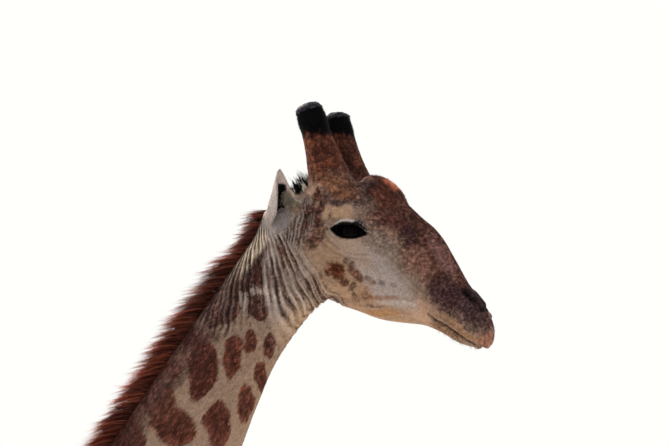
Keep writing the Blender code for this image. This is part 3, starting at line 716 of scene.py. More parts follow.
# Zones of the head, painted in this order: forward and up, half-length, half-height,
# tilt in degrees, colour, strength. Both sides alike.
Zone = namedtuple("Zone", "at half tilt colour strength")
PALE_ZONES = [
    Zone((0.12, -0.13), (0.24, 0.09), -15, seen(150, 121, 98), 0.9),        # jaw, cream, warmed orange as painted bounce light
    Zone((0.26, -0.09), (0.06, 0.03), 10, seen(168, 136, 114), 0.8),        # and paler near the lips
    Zone((0.125, -0.065), (0.12, 0.048), -15, seen(152, 138, 132), 1.0),    # cheek, pale grey
    Zone((0.07, 0.010), (0.07, 0.024), -10, seen(116, 100, 92), 0.9),       # in front of the eye
    Zone((0.01, -0.035), (0.095, 0.022), -10, seen(148, 128, 114), 0.9),    # under the eye
    Zone((-0.12, 0.010), (0.050, 0.065), 0, seen(140, 112, 98), 0.9),       # temple
    Zone((-0.070, 0.062), (0.060, 0.024), 10, seen(76, 62, 58), 0.9),       # grey over the brow
    Zone((-0.050, 0.026), (0.048, 0.020), 12, seen(172, 140, 112), 0.9),    # brow, cream
    Zone((-0.036, 0.048), (0.022, 0.016), 0, seen(170, 140, 118), 0.9),
    Zone((-0.105, 0.085), (0.070, 0.030), 0, seen(106, 70, 52), 0.9),       # foot of the ossicone
    Zone((-0.085, -0.045), (0.032, 0.055), 25, seen(80, 52, 42), 0.8),      # behind the eye
    Zone((-0.130, 0.038), (0.014, 0.020), 10, seen(62, 32, 24), 0.9),       # spots of the temple
    Zone((-0.128, -0.006), (0.011, 0.024), 0, seen(74, 46, 38), 0.8),
    Zone((-0.101, 0.008), (0.013, 0.012), 0, seen(84, 72, 72), 0.7),
    Zone((-0.150, 0.008), (0.010, 0.020), 0, seen(78, 50, 42), 0.7),
    Zone((0.006, -0.102), (0.024, 0.022), -30, seen(76, 42, 28), 1.0),      # spots of the cheek
    Zone((0.031, -0.070), (0.016, 0.013), 0, seen(90, 72, 62), 0.9),
    Zone((0.056, -0.088), (0.030, 0.013), -20, seen(94, 62, 48), 0.9),
    Zone((0.030, -0.119), (0.013, 0.011), 0, seen(66, 38, 28), 0.9),
    Zone((0.056, -0.119), (0.010, 0.018), 0, seen(92, 68, 58), 0.8),
    Zone((0.098, -0.085), (0.019, 0.010), -10, seen(108, 84, 74), 0.8),
    Zone((0.135, -0.071), (0.012, 0.009), 0, seen(102, 92, 92), 0.7),
    Zone((0.166, -0.064), (0.010, 0.007), 0, seen(104, 94, 94), 0.6),
    Zone((0.078, -0.137), (0.018, 0.010), -30, seen(98, 74, 60), 0.8),
    Zone((0.104, -0.122), (0.016, 0.009), -10, seen(112, 84, 66), 0.7),
    Zone((-0.020, -0.135), (0.016, 0.020), 0, seen(96, 66, 52), 0.6),
]
JAW_LINES = [
    Zone((0.180, -0.105), (0.060, 0.011), 20, seen(166, 154, 146), 0.7),    # pale line of the jaw
    Zone((0.150, -0.108), (0.060, 0.006), 24, seen(140, 94, 62), 0.6),      # orange lines beside it
    Zone((0.150, -0.146), (0.060, 0.008), 24, seen(150, 108, 66), 0.6),
    Zone((0.127, -0.140), (0.045, 0.004), 24, seen(88, 72, 68), 0.6),
]
DARK_ZONES = [
    Zone((-0.050, 0.108), (0.040, 0.026), 0, seen(46, 26, 26), 1.0),        # between horn and ossicone
    Zone((-0.030, 0.086), (0.030, 0.012), -30, seen(60, 42, 40), 0.8),
    Zone((0.000, 0.118), (0.040, 0.024), -20, seen(80, 46, 36), 0.9),        # the median horn
    Zone((-0.010, 0.158), (0.048, 0.016), -8, seen(206, 126, 98), 1.0),    # its crown: red brown hair, lightened with a painted highlight
    Zone((0.080, 0.068), (0.040, 0.022), -10, seen(70, 42, 36), 0.9),        # side of the brow
    Zone((0.125, 0.060), (0.035, 0.020), -30, seen(54, 36, 38), 0.8),
    Zone((0.155, 0.022), (0.018, 0.014), -20, seen(124, 92, 74), 0.8),      # pale lobe
    Zone((0.192, 0.012), (0.058, 0.030), -25, seen(118, 84, 72), 0.75),     # red brown beside the bridge
    Zone((0.225, 0.055), (0.080, 0.018), -28, seen(112, 80, 74), 0.8),       # bridge of the nose
    Zone((0.310, -0.025), (0.075, 0.046), -10, seen(60, 41, 41), 0.9),      # muzzle
    Zone((0.385, -0.035), (0.050, 0.030), -30, seen(64, 48, 48), 0.8),
    Zone((0.350, 0.008), (0.035, 0.010), -15, seen(40, 30, 34), 0.8),       # over the nostril
    Zone((0.404, -0.012), (0.022, 0.008), -50, seen(128, 100, 88), 0.9),    # its front wing
]
LIP_ZONES = [
    Zone((0.375, -0.083), (0.070, 0.015), -5, seen(142, 110, 86), 1.0),     # upper lip
    Zone((0.446, -0.075), (0.024, 0.034), 0, seen(126, 84, 70), 0.8),       # its tip
    Zone((0.335, -0.109), (0.060, 0.010), 0, seen(120, 92, 70), 0.9),       # lower lip
]


# Height above the ground, and the distance between the middles of patches there.
SPACINGS = [(0.0, 0.05), (0.5, 0.07), (1.1, 0.095), (1.6, 0.15), (2.1, 0.19), (3.2, 0.18), (3.9, 0.14),
            (4.3, 0.10)]


def patch_spacing(points):
    """Distance between the middles of patches: wide on the trunk, close on the feet and the face."""
    spacing = np.interp(points[:, 2], *np.array(SPACINGS).T)
    return spacing * (1 - 0.45 * face_share(points))


def scatter_seeds(points, wanted):
    """Points of the skin no closer to each other than the patches' spacing there."""
    order = random.permutation(len(points))[:wanted]
    seeds = np.empty((0, 3))
    spacing = patch_spacing(points[order])
    for point, gap in zip(points[order], spacing):
        if len(seeds) == 0 or np.min(np.sum((seeds - point) ** 2, axis=1)) > (0.86 * gap) ** 2:
            seeds = np.vstack([seeds, point])
    return seeds


def nearest_two(points, seeds):
    """Distances to the nearest seed and the next, and which seed is nearest."""
    first, second = np.empty(len(points)), np.empty(len(points))
    which = np.empty(len(points), int)
    for start in range(0, len(points), 8000):
        part = slice(start, start + 8000)
        away = (np.sum(points[part] ** 2, 1)[:, None] + np.sum(seeds ** 2, 1)[None]
                - 2 * points[part] @ seeds.T)
        order = np.argpartition(away, 1, axis=1)[:, :2]
        pair = np.sqrt(np.maximum(np.take_along_axis(away, order, 1), 0))
        flip = pair[:, 0] > pair[:, 1]
        which[part] = np.where(flip, order[:, 1], order[:, 0])
        first[part], second[part] = pair.min(1), pair.max(1)
    return first, second, which


def ragged(points, strength):
    """Points shifted by noise, so that what is drawn from them has blotchy edges."""
    shift = (noises(points, 0.075, 11.0) * 1.1 + noises(points, 0.026, 7.0) * 0.45
             + noises(points, 0.011, 5.0) * 0.20)
    return points + shift * (patch_spacing(points) * strength)[:, None]


def body_patches(points):
    """(how deep inside a patch, 0 in the net between them; a number of its own for each patch)."""
    seeds = scatter_seeds(points, 9000)
    stretch = np.array([1.0, 1.0, 0.82])
    first, second, which = nearest_two(ragged(points, 0.16) * stretch, seeds * stretch)
    depth = (second - first) / patch_spacing(points) - 0.20
    return depth, np.random.default_rng(11).random(len(seeds))[which]


def named_patches(points):
    """The same for the patches of the upper neck's right side."""
    away = ragged(points, 0.09) - WITHERS
    depth, own = np.full(len(points), -1.0), np.zeros(len(points))
    for count, patch in enumerate(NECK_PATCHES):
        half = (patch.half_x, patch.half_z)
        inner = 0.8 * (1.0 - ellipse_reach(away[:, [0, 2]], (patch.x, patch.z), half, -patch.tilt))
        own = np.where(inner > depth, (count * 0.37) % 1, own)
        depth = np.maximum(depth, inner)
    return depth, own


def right_of_neck(points):
    """1 on the right side of the upper neck, where the patches have names."""
    up_neck, left, _ = to_neck(points).T
    middle = -0.055 * np.clip(up_neck / 1.87, 0, 1) ** 4
    return (smoothstep(up_neck, 1.10, 1.16) * fade(up_neck, 1.86, 1.92)
            * smoothstep(middle - left, -0.004, 0.012))


def ear_place(points, side):
    """Points along and across an ear, as shares of its length, and the ear's run and facing."""
    run = unit(flipped(EAR_ALONG, side))
    facing = flipped(EAR_FACING, side)
    facing = unit(facing - run * (facing @ run))
    away = to_head(points) - flipped(EAR_ROOT, side)
    return away @ run / EAR_LENGTH, away @ np.cross(run, facing) / EAR_LENGTH * side, run, facing


def ossicone_axis(side):
    """An ossicone's foot and the way up along it, in the head's axes."""
    foot = flipped(OSSICONE_FOOT, side)
    return foot, unit(flipped(OSSICONE_TIP, side) - foot)


def ossicone_height(points, side):
    """How far up an ossicone points lie, from 0 at its foot to 1 at its top."""
    foot, run = ossicone_axis(side)
    return (to_head(points) - foot) @ run / OSSICONE_LENGTH


def belong(labels, *names):
    """Which points or triangles belong to the nodes named."""
    return np.isin(labels, [FLESH.index(name) for name in names])


def patch_colour(points, depth, own):
    """A patch's brown: each has its own warmth, and most have a darker core."""
    core = smoothstep(depth, 0.10, 0.42) * (0.55 + 0.45 * noise(points, 0.03, 2.0))
    patch = mixed(PATCH, PATCH_WARM, np.clip(own * 0.9, 0, 1))
    return mixed(patch, PATCH_CORE, np.clip(core * (0.4 + 0.6 * own), 0, 1))


def net_colour(points, belly):
    """The net between the patches, paler on the belly and the legs."""
    net = mixed(NET, NET_PALE, np.clip(0.5 + 0.5 * noise(points, 0.3), 0, 1))
    return mixed(net, CREAM, np.clip(belly + 0.8 * fade(points[:, 2], 0.2, 1.2), 0, 1))


def paint_body(points, labels):
    """(the body's colours; how far each point lies inside a patch or the dark crest)."""
    named = right_of_neck(points)
    depth, own = body_patches(points)
    other_depth, other_own = named_patches(points)
    depth = depth * (1 - named) + other_depth * named
    own = np.where(named > 0.5, other_own, own)
    up_neck, _, under = to_neck(points).T
    belly = smoothstep(-normals_of(SKIN)[:, 2], 0.3, 0.8) * belong(labels, "trunk")
    inside = smoothstep(depth, -0.03, 0.055) * (1 - 0.75 * belly)
    foot = fade(points[:, 2], 0.12, 0.75)
    fan_dark = smoothstep(fan(points)[1], 0.2, 0.7) * named
    patch = patch_colour(points, depth, own) * (1 - 0.25 * fan_dark)[:, None]
    colour = mixed(net_colour(points, belly), patch, inside * (1 - 0.75 * foot))
    crest = (0.9 * smoothstep(-under + 0.018 * noise(points, 0.03, 12.0), -0.080, -0.035)
             * smoothstep(up_neck, -0.1, 0.1) * fade(up_neck, 1.62, 1.78))
    # A painted highlight: a pale strip along the top of the upper neck, lit by the sun behind.
    sunlit = 0.9 * smoothstep(-under, -0.040, -0.028) * smoothstep(up_neck, 1.62, 1.72)
    return mixed(mixed(colour, CREST, crest), NAPE_HIGHLIGHT, sunlit), np.maximum(inside, crest)


def paint_folds(points, colour, inside):
    """Pale ridges and dark valleys of the folds behind the cheek, crossing the patches there: the ridges'
    paleness is painted highlight, the valleys' darkness painted shade, and the temple's fold valleys get
    painted shade too.
    """
    valley, strength = fan(points)
    strength = np.clip(strength, 0, 1)
    band = ellipse_share(side_view(points), PALE_BAND, 0.5, 1.3)
    covered = inside * (1 - band)
    throat = throat_share(points)
    cream = smoothstep(strength, 0.1, 0.6) * np.clip(0.25 + 0.9 * noise(points, 0.06, 4.0), 0.0, 0.7)
    cream = np.maximum(cream, band * 0.95) * (1 - 0.95 * covered)
    colour = mixed(colour, mixed(CREAM, THROAT, throat * 0.8), cream)
    # Painted highlight: the folds' ridges are made paler.
    ridge = smoothstep(-valley, -0.22, -0.02) * strength
    ridge = ridge * np.clip(0.5 + 0.9 * noise(points, 0.04, 7.0), 0, 1)
    colour = mixed(colour, RIDGE_HIGHLIGHT, ridge * (0.65 + 0.3 * band) * (1 - 0.7 * covered))
    # Painted shade: the folds' valleys are darkened.
    dark = valley ** 0.8 * strength * (2.7 - 0.6 * band)
    dark = dark * np.clip(0.95 + 1.0 * noise(points, 0.055, 8.0), 0.5, 1)
    colour = mixed(colour, mixed(FOLD_SHADE, THROAT_FOLD_SHADE, throat), np.clip(dark, 0, 0.95))
    valley, strength = temple_folds(points)
    colour = mixed(colour, TEMPLE_CREAM, strength * 0.8)
    # Painted shade in the valleys of the temple's folds.
    return mixed(colour, FOLD_SHADE, np.clip(valley ** 0.6 * strength * 2.2, 0, 0.97))


def paint_zones(colour, at, zones):
    for zone in zones:
        share = ellipse_share(at, (zone.at, zone.half, zone.tilt), 0.6, 1.25)
        colour = mixed(colour, zone.colour, share * zone.strength)
    return colour


def paint_face(points, colour):
    local = to_head(points)
    wavy = local + 0.008 * noises(points, 0.035, 3.0) + 0.005 * noises(points, 0.011, 5.0)
    at, steady = wavy[:, [0, 2]], (local + 0.2 * (wavy - local))[:, [0, 2]]
    edge = np.interp(at[:, 0], *np.array(MASK).T)
    base = mixed(paint_zones(FACE_PALE, at, PALE_ZONES), paint_zones(FACE_DARK, at, DARK_ZONES),
                 smoothstep(at[:, 1] - edge, -0.032, 0.030))
    base = paint_zones(paint_zones(base, at, LIP_ZONES), steady, JAW_LINES)
    return mixed(colour, base, face_share(points))


def paint_streaks(points, colour):
    """Dark streaks that run with the folds on the temple, the cheek's back and the upper neck."""
    angle, reach = fan_place(points)
    across, down = temple_axes(points)
    apart = np.sign(to_head(points)[:, 1]) * 5           # the two sides have streaks of their own
    streak = noise(np.column_stack([angle / 0.9, reach / 0.060, apart]), 1.0)
    spotty = noise(np.column_stack([across / 0.0065, down / 0.022, apart]), 1.0, 3.0)
    before = ellipse_share(side_view(points), TEMPLE_SPOTS, 0.6, 1.1)
    behind = ellipse_share(side_view(points), CHEEK_STREAKS, 0.6, 1.1)
    streak = np.where(before > 0, spotty, streak)
    dark = smoothstep(streak, 0.10, 0.45) * np.maximum(before, behind * 0.75)
    return mixed(colour, STREAK_BROWN, dark * 0.85)


def paint_slits(points, colour):
    """Dark margins of the lids, nostrils and lips."""
    local = to_head(points)
    u, v = slit_place(local)
    gap = np.abs(v) - slit_edge(u, v > 0)
    beyond = np.maximum(np.abs(u) - SLIT_HALF, 0)
    outer = np.abs(local[:, 1]) > 0.05
    margin = outer * fade(np.hypot(np.maximum(gap, 0), beyond), 0.0015, 0.0050)
    colour = mixed(colour, BLACK, margin * (np.hypot(u, v) < 0.09))
    rim = hump(gap, 0.0085, 0.0030) * (v > 0) * fade(np.abs(u), 0.035, 0.055)
    colour = mixed(colour, LID_PALE, rim * 0.9 * outer)
    # Painted shade: the nostril and mouth slits are darkened along their grooves.
    for name, width in (("nostril", 0.0050), ("mouth", 0.0024)):
        dark = hump(line_distance(local[:, [0, 2]], GROOVES[name].path), 0, width) * face_share(points)
        colour = mixed(colour, BLACK, dark * 0.75)
    return colour


def paint_ears(points, colour, normals, labels):
    for side, name in zip(SIDES, EARS):
        here = belong(labels, name)
        along, across, run, facing = ear_place(points[here], side)
        out = (to_head(points[here]) - flipped(EAR_ROOT, side)) @ facing / EAR_LENGTH
        axis = (turned(np.cross(run, facing) * side) * -across[:, None]
                + turned(facing) * (0.21 - out)[:, None])
        inner = smoothstep(np.sum(normals[here] * unit(axis), axis=1), 0.0, 0.25)
        shade = mixed(EAR_GREY, EAR_LOW, 0.5 * fade(along, 0.1, 0.5))
        shade = mixed(shade, EAR_INNER, inner * 0.8)
        depth = out / np.interp(along, [0, 0.35, 0.75, 1], [0.24, 0.29, 0.17, 0.02])
        # The deep of the ear's cup is painted near black: painted shade over its dark inner hair.
        hollow_shade = inner * fade(depth, 0.80, 0.92)
        hollow_shade = hollow_shade * fade(np.abs(along - 0.47), 0.27, 0.31)
        colour[here] = mixed(shade, HOLLOW_SHADE, hollow_shade)
    foot = ellipse_share(side_view(points), EAR_FOOT, 0.7, 1.2)
    return mixed(colour, EAR_FOOT_GREY, foot * belong(labels, "head") * 0.9)


def paint_ossicones(points, colour):
    shade = mixed(HORN_BROWN, HORN_DARK, np.clip(0.5 + 0.8 * noise(points, 0.03, 6.0), 0, 1))
    for side in SIDES:
        height = ossicone_height(points, side)
        forward, left, up = to_head(points).T
        near = fade(np.abs(left * side - 0.068 - 0.02 * height), 0.058, 0.075)
        near = near * (up > 0.03)
        colour = mixed(colour, shade, smoothstep(height, 0.00, 0.22) * near)
        middle, slant = BLACK_TOPS[side]
        edge = middle - slant * (forward + 0.131 + 0.165 * height) + 0.06 * noise(points, 0.010, 1.0)
        colour = mixed(colour, BLACK, smoothstep(height, edge - 0.04, edge + 0.05) * near)
    return colour


def label_points(points):
    """For each point, which node of flesh is nearest."""
    tree = KDTree(sum(len(NODES[name].data.vertices) for name in FLESH))
    for index, name in enumerate(FLESH):
        for corner in corners_of(NODES[name].data):
            tree.insert(corner, index)
    tree.balance()
    return np.array([tree.find(point)[1] for point in points])


def set_tints(mesh, tints):
    layer = mesh.attributes.new("tint", "FLOAT_COLOR", "POINT")
    values = np.column_stack([tints, np.ones(len(tints))])
    layer.data.foreach_set("color", values.astype(np.float32).ravel())


def darkness(colours):
    """1 for dark fur, 0 for pale."""
    return fade(colours.mean(1), 0.06, 0.30)


def paint_skin(labels):
    points, normals = corners_of(SKIN), normals_of(SKIN)
    colour, inside = paint_body(points, labels)
    colour = paint_face(points, colour)
    colour = paint_folds(points, colour, inside * (1 - face_share(points)))
    colour = paint_streaks(points, colour)
    colour = paint_ossicones(points, colour)
    colour = paint_slits(points, colour)
    colour = paint_ears(points, colour, normals, labels)
    return np.clip(colour * np.exp(0.8 * mottle(points, darkness(colour)))[:, None], 0.0008, 0.9)


# ---- Materials -------------------------------------------------------------------------


def shader(name, **values):
    """A Principled material, with its node tree and its shader node; _ stands for a blank."""
    material = bpy.data.materials.new(name)
    material.use_nodes = True
    principled = material.node_tree.nodes["Principled BSDF"]
    for socket, value in values.items():
        principled.inputs[socket.replace("_", " ")].default_value = value
    return material, material.node_tree, principled


def link(tree, source, socket, node, target):
    tree.links.new(source.outputs[socket], node.inputs[target])


def add_node(tree, kind, **values):
    """A new shader node with some of its inputs set; _ stands for a blank."""
    made = tree.nodes.new("ShaderNode" + kind)
    for socket, value in values.items():
        made.inputs[socket.replace("_", " ")].default_value = value
    return made


def noise_node(tree, scale, detail=3.0, stretch=(1, 1, 1)):
    """Noise over object space, stretched along axes."""
    mapping = add_node(tree, "Mapping", Scale=stretch)
    texture = add_node(tree, "TexNoise", Scale=scale, Detail=detail)
    link(tree, add_node(tree, "TexCoord"), "Object", mapping, "Vector")
    link(tree, mapping, "Vector", texture, "Vector")
    return texture


def add_ramp(tree, source, socket, node, target, colours, places=(0.0, 1.0)):
    """Feeds a value through a ramp between two colours into a node."""
    ramp = add_node(tree, "ValToRGB")
    for element, place, colour in zip(ramp.color_ramp.elements, places, colours):
        element.position = place
        element.color = (*colour, 1)
    link(tree, source, socket, ramp, "Fac")
    link(tree, ramp, "Color", node, target)
    return ramp


def add_bump(tree, principled, texture, strength, distance):
    bump = add_node(tree, "Bump", Strength=strength, Distance=distance)
    link(tree, texture, "Fac", bump, "Height")
    link(tree, bump, "Normal", principled, "Normal")


def tinted(name, grain, low, high, **values):
    """A material coloured by the mesh's tints, varied by noise between two brightnesses."""
    material, tree, principled = shader(name, **values)
    tint = add_node(tree, "Attribute")
    tint.attribute_name = "tint"
    ramp = add_node(tree, "MapRange", From_Min=0.3, From_Max=0.7, To_Min=low, To_Max=high)
    vary = add_node(tree, "VectorMath")
    vary.operation = "SCALE"
    link(tree, noise_node(tree, grain), "Fac", ramp, "Value")
    link(tree, tint, "Color", vary, 0)
    link(tree, ramp, "Result", vary, "Scale")
    link(tree, vary, "Vector", principled, "Base Color")
    return material, tree, principled


def skin_material():
    looks = {"Roughness": 0.8, "Specular_IOR_Level": 0.06}
    material, tree, principled = tinted("skin_coat", 420, 0.62, 1.30, **looks)
    add_bump(tree, principled, noise_node(tree, 520, 5.0), 0.55, 0.0015)
    return material


def hair_material(name, roughness, low=0.8, high=1.2):
    return tinted(name, 900, low, high, Roughness=roughness, Specular_IOR_Level=0.08)[0]


# ---- Tufts: blades of hair as one mesh ---------------------------------------------------


def strip_mesh(name, points, levels):
    """Joins each blade's corners into quads and a pointed tip: (mesh, each face corner's vertex)."""
    count, each = points.shape[:2]
    quads = [(2 * k, 2 * k + 1, 2 * k + 3, 2 * k + 2) for k in range(levels - 1)]
    corners = np.array([corner for quad in quads for corner in quad] + [each - 3, each - 2, each - 1])
    loops = (np.arange(count)[:, None] * each + corners).ravel()
    starts = (np.arange(count)[:, None] * len(corners) + np.arange(levels) * 4).ravel()
    mesh = bpy.data.meshes.new(name)
    mesh.vertices.add(count * each)
    mesh.vertices.foreach_set("co", points.astype(np.float32).ravel())
    mesh.loops.add(len(loops))
    mesh.loops.foreach_set("vertex_index", loops.astype(np.int32))
    mesh.polygons.add(len(starts))
    mesh.polygons.foreach_set("loop_start", starts.astype(np.int32))
    mesh.update(calc_edges=True)
    mesh.shade_smooth()
    return mesh, loops


def blade_mesh(name, roots, rise, bend, across, length, width, tints, places, levels, tip_highlight=1.25):
    """One mesh of pointed blades. Each leaves its root along rise and turns with bend; tints are
    the roots' colours, and places the roots' places on the skin's unwrap."""
    count = len(roots)
    share = np.linspace(0, 1, levels + 1)[None, :, None]
    line = roots[:, None] + length[:, None, None] * (rise[:, None] * share + bend[:, None] * share ** 2)
    half = np.broadcast_to(width, count)[:, None, None] / 2 * (1 - share[:, :-1] ** 1.6)
    aside, spine = across[:, None] * half, line[:, :-1]
    rows = np.stack([spine - aside, spine + aside], axis=2)
    points = np.concatenate([rows.reshape(count, 2 * levels, 3), line[:, -1:]], axis=1)
    mesh, loops = strip_mesh(name, points, levels)
    way = np.r_[np.repeat(share[0, :-1, 0], 2), 1.0]
    # Painted shade and highlight: each blade is darker at its root, in among the other hairs, and lighter
    # towards its tip.
    light = np.interp(way, [0, 1], [0.70, tip_highlight])
    set_tints(mesh, np.clip((tints[:, None] * light[:, None]).reshape(-1, 3), 0, 0.95))
    patch = np.column_stack([np.r_[np.tile((-0.0015, 0.0015), levels), 0.0], way * 0.003])
    unwrap = (places[:, None] + patch).reshape(-1, 2)[loops]
    mesh.uv_layers.new(name="OFBake").data.foreach_set("uv", unwrap.astype(np.float32).ravel())
    return mesh


# ---- The coat --------------------------------------------------------------------------

# Each coat piece: the nodes of flesh it covers, blade length and width, share of skin covered, and
# where it starts and ends, up the neck on neck pieces and forward on the head on the others.
Coat = namedtuple("Coat", "nodes length width cover low high", defaults=(-math.inf, math.inf))
COATS = {
    "coat_face": Coat(["head"], 0.0065, 0.0014, 1.05, low=0.05),
    "coat_poll": Coat(["head"], 0.0080, 0.0016, 0.9, high=0.05),
    "coat_ears": Coat(EARS, 0.0075, 0.0012, 1.1),
    "coat_horns": Coat(OSSICONES, 0.0075, 0.0014, 1.2),
    "coat_neck_high": Coat(["neck"], 0.0095, 0.0022, 0.95, low=1.15),
    "coat_neck_low": Coat(["neck"], 0.0160, 0.0034, 0.75, high=1.15),
    "coat_trunk": Coat(["trunk"], 0.0190, 0.0042, 0.55),
    "coat_forelegs": Coat(LEGS[:2], 0.0120, 0.0030, 0.6),
    "coat_hindlegs": Coat(LEGS[2:], 0.0130, 0.0032, 0.6),
    "coat_tail": Coat(["tail"], 0.0140, 0.0030, 0.9),
}
BLADE_LIMIT = 66000               # most blades in a piece

# Which way the hair lies on each node; on the legs it lies down them.
LIE = {"head": turned((-1, 0, -0.28)), "neck": -NECK_RUN * 0.9 + np.array((0, 0, -0.35)),
       "trunk": np.array((-0.8, 0, -0.45)), "tail": np.array((0, 0, -1))}
LIE.update({name: turned(flipped(EAR_ALONG, side)) for side, name in zip(SIDES, EARS)})
LIE.update({name: turned(ossicone_axis(side)[1]) for side, name in zip(SIDES, OSSICONES)})
DOWN_A_LEG = np.array((-0.12, 0, -1.0))


def lie_field(labels, normals):
    """Which way the hair lies at each point of the skin, flowing on from part to part."""
    table = np.array([LIE.get(name, DOWN_A_LEG) for name in FLESH])
    lie = unit(table)[labels]
    points = corners_of(SKIN)
    away = to_head(points) - np.array((FAN_AT[0], 0, FAN_AT[1]))
    away[:, 1] = 0
    folds = np.clip(fan(points)[1], 0, 1)[:, None]
    lie = lie * (1 - folds) + unit(turned(away)) * folds
    edges = edges_of(SKIN)
    for _ in range(24):
        lie = 0.4 * lie + 0.6 * neighbour_mean(edges, lie)
    return unit(lie - normals * np.sum(lie * normals, axis=1)[:, None])


def chart(points, name):
    """Unrolls a part about its long axis: (turn about it, way along it), both from 0 to 1."""
    corners = corners_of(NODES[name].data)
    middle = corners.mean(0)
    axis, one, other = np.linalg.svd(corners - middle, full_matrices=False)[2]
    reach = (corners - middle) @ axis
    away = points - middle
    turn = np.arctan2(away @ other, away @ one) / (2 * math.pi) + 0.5
    return np.column_stack([turn, np.clip((away @ axis - reach.min()) / np.ptp(reach), 0, 1)])


Roots = namedtuple("Roots", "at normals lie tints labels")


class Surface:
    """The skin's triangles, from which hair roots are drawn."""

    def __init__(self, labels, tints):
        self.points, self.normals = corners_of(SKIN), normals_of(SKIN)
        self.corners = triangles_of(SKIN)
        one, two, three = (self.points[self.corners[:, k]] for k in range(3))
        self.area = np.linalg.norm(np.cross(two - one, three - one), axis=1) / 2
        self.centres = (one + two + three) / 3
        self.labels = labels[self.corners[:, 0]]
        self.tints = tints
        self.lie = lie_field(labels, self.normals)

    def draw(self, chosen, count):
        """Random roots spread evenly over the chosen triangles."""
        chance = np.cumsum(self.area * chosen)
        picked = np.searchsorted(chance, random.random(count) * chance[-1])
        one, two = random.random((2, count))
        flip = one + two > 1
        one, two = np.where(flip, 1 - one, one), np.where(flip, 1 - two, two)
        share = np.stack([1 - one - two, one, two], axis=1)[:, :, None]
        corners = self.corners[picked]
        roots = (self.points[corners] * share).sum(1)
        normals = unit((self.normals[corners] * share).sum(1))
        return Roots(roots, normals, unit((self.lie[corners] * share).sum(1)),
                     (self.tints[corners] * share).sum(1), self.labels[picked])

    def on(self, *names):
        return belong(self.labels, *names)


def charted(roots, names):
    """Roots' places on a piece's unwrap: one column for each node it covers."""
    places = np.zeros((len(roots.at), 2))
    for column, name in enumerate(names):
        here = belong(roots.labels, name)
        turn, way = chart(roots.at[here], name).T
        places[here] = np.column_stack([(column + 0.01 + 0.97 * turn) / len(names), 0.005 + 0.985 * way])
    return places


def add_hair(name, slot, *blades, nodes=()):
    """A piece of hair, from what blade_mesh takes after the name."""
    mesh = blade_mesh(name, *blades)
    mesh.materials.append(COAT_HAIR if name in COATS else LONG_HAIR)
    new_object(name, mesh, nodes)


def skin_hair(name, slot, roots, names, rise, bend, length, width, tints, sink=0.0):
    """Hair whose roots were drawn from the skin of the nodes named, sunk into it a little."""
    across = unit(np.cross(rise, roots.normals))
    add_hair(name, slot, roots.at - roots.normals * sink, rise, bend, across, length, width, tints,
             charted(roots, names), 2)


def shades(colour, count, low, high):
    """A colour, or one a blade, between two brightnesses at random."""
    return np.asarray(colour) * random.uniform(low, high, (count, 1))


def eye_clear(points):
    """1 away from the eye slits, 0 on them: no coat grows there."""
    u, v = slit_place(to_head(points))
    beyond = np.maximum(np.abs(u) - SLIT_HALF + 0.006, 0)
    gap = np.hypot(beyond, np.maximum(np.abs(v) - slit_edge(u, v > 0), 0))
    return smoothstep(np.where(np.hypot(u, v) < EYE_REGION, gap, 1), 0.002, 0.006)


def clumped(roots, tints):
    """How light each blade is: blades differ, and so do the clumps they stand in, most in dark fur."""
    dark = darkness(tints)
    return np.exp((0.16 + 0.22 * dark) * random.normal(0, 1, len(roots)) + mottle(roots, dark))


def mottle(points, dark):
    """Fine unevenness of the coat's lightness."""
    return (0.24 + 1.15 * dark) * (noise(points, 0.0042, 4.0) + 0.25 * noise(points, 0.009, 9.0))


def coat_piece(surface, name, coat):
    """Short fur over some nodes: blades that lie along the skin and overlap."""
    station = to_neck(surface.centres)[:, 0] if "neck" in name else to_head(surface.centres)[:, 0]
    kept = surface.on(*coat.nodes) * (station > coat.low) * (station <= coat.high)
    chosen = kept * eye_clear(surface.centres)
    area = float((surface.area * chosen).sum())
    count = min(BLADE_LIMIT, int(area * coat.cover / (coat.length * coat.width * 0.6)))
    roots = surface.draw(chosen, count)
    length = coat.length * random.uniform(0.6, 1.25, count)
    length *= 1 - 0.45 * smoothstep(to_head(roots.at)[:, 0], 0.20, 0.36) * face_share(roots.at)
    lift = random.uniform(0.10, 0.34, count)[:, None]
    lie = unit(roots.lie + random.normal(0, 0.20, roots.lie.shape))
    rise = unit(lie * (1 - lift * 0.4) + roots.normals * lift)
    tints = roots.tints * clumped(roots.at, roots.tints)[:, None]
    width = coat.width * random.uniform(0.7, 1.2, count)
    bend = -roots.normals * lift * 0.75
    skin_hair(name, "coat", roots, coat.nodes, rise, bend, length, width, tints, 0.0012)


# ---- Mane, tail, ear, poll and lip hair ---------------------------------------------------


def on_skin(start, run):
    """Where a ray from outside meets the skin, or None."""
    return SKIN_TREE.ray_cast(Vector(start), Vector(run))[0]


def crest_line():
    """Points of the skin along the neck's dorsal line, where the mane is rooted."""
    station, left, _ = to_neck(corners_of(NODES["mane"].data)).T
    rows = []
    for at in np.linspace(station.min() + 0.01, station.max() - 0.015, 90):
        middle = left[np.abs(station - at) < 0.06].mean()
        rows.append(on_skin(WITHERS + NECK_RUN * at + DORSAL * 0.25 + np.array((0, middle, 0)), -DORSAL))
    return np.array([place for place in rows if place is not None])


Spikes = namedtuple("Spikes", "middle offset share along side reach lean rise tints")


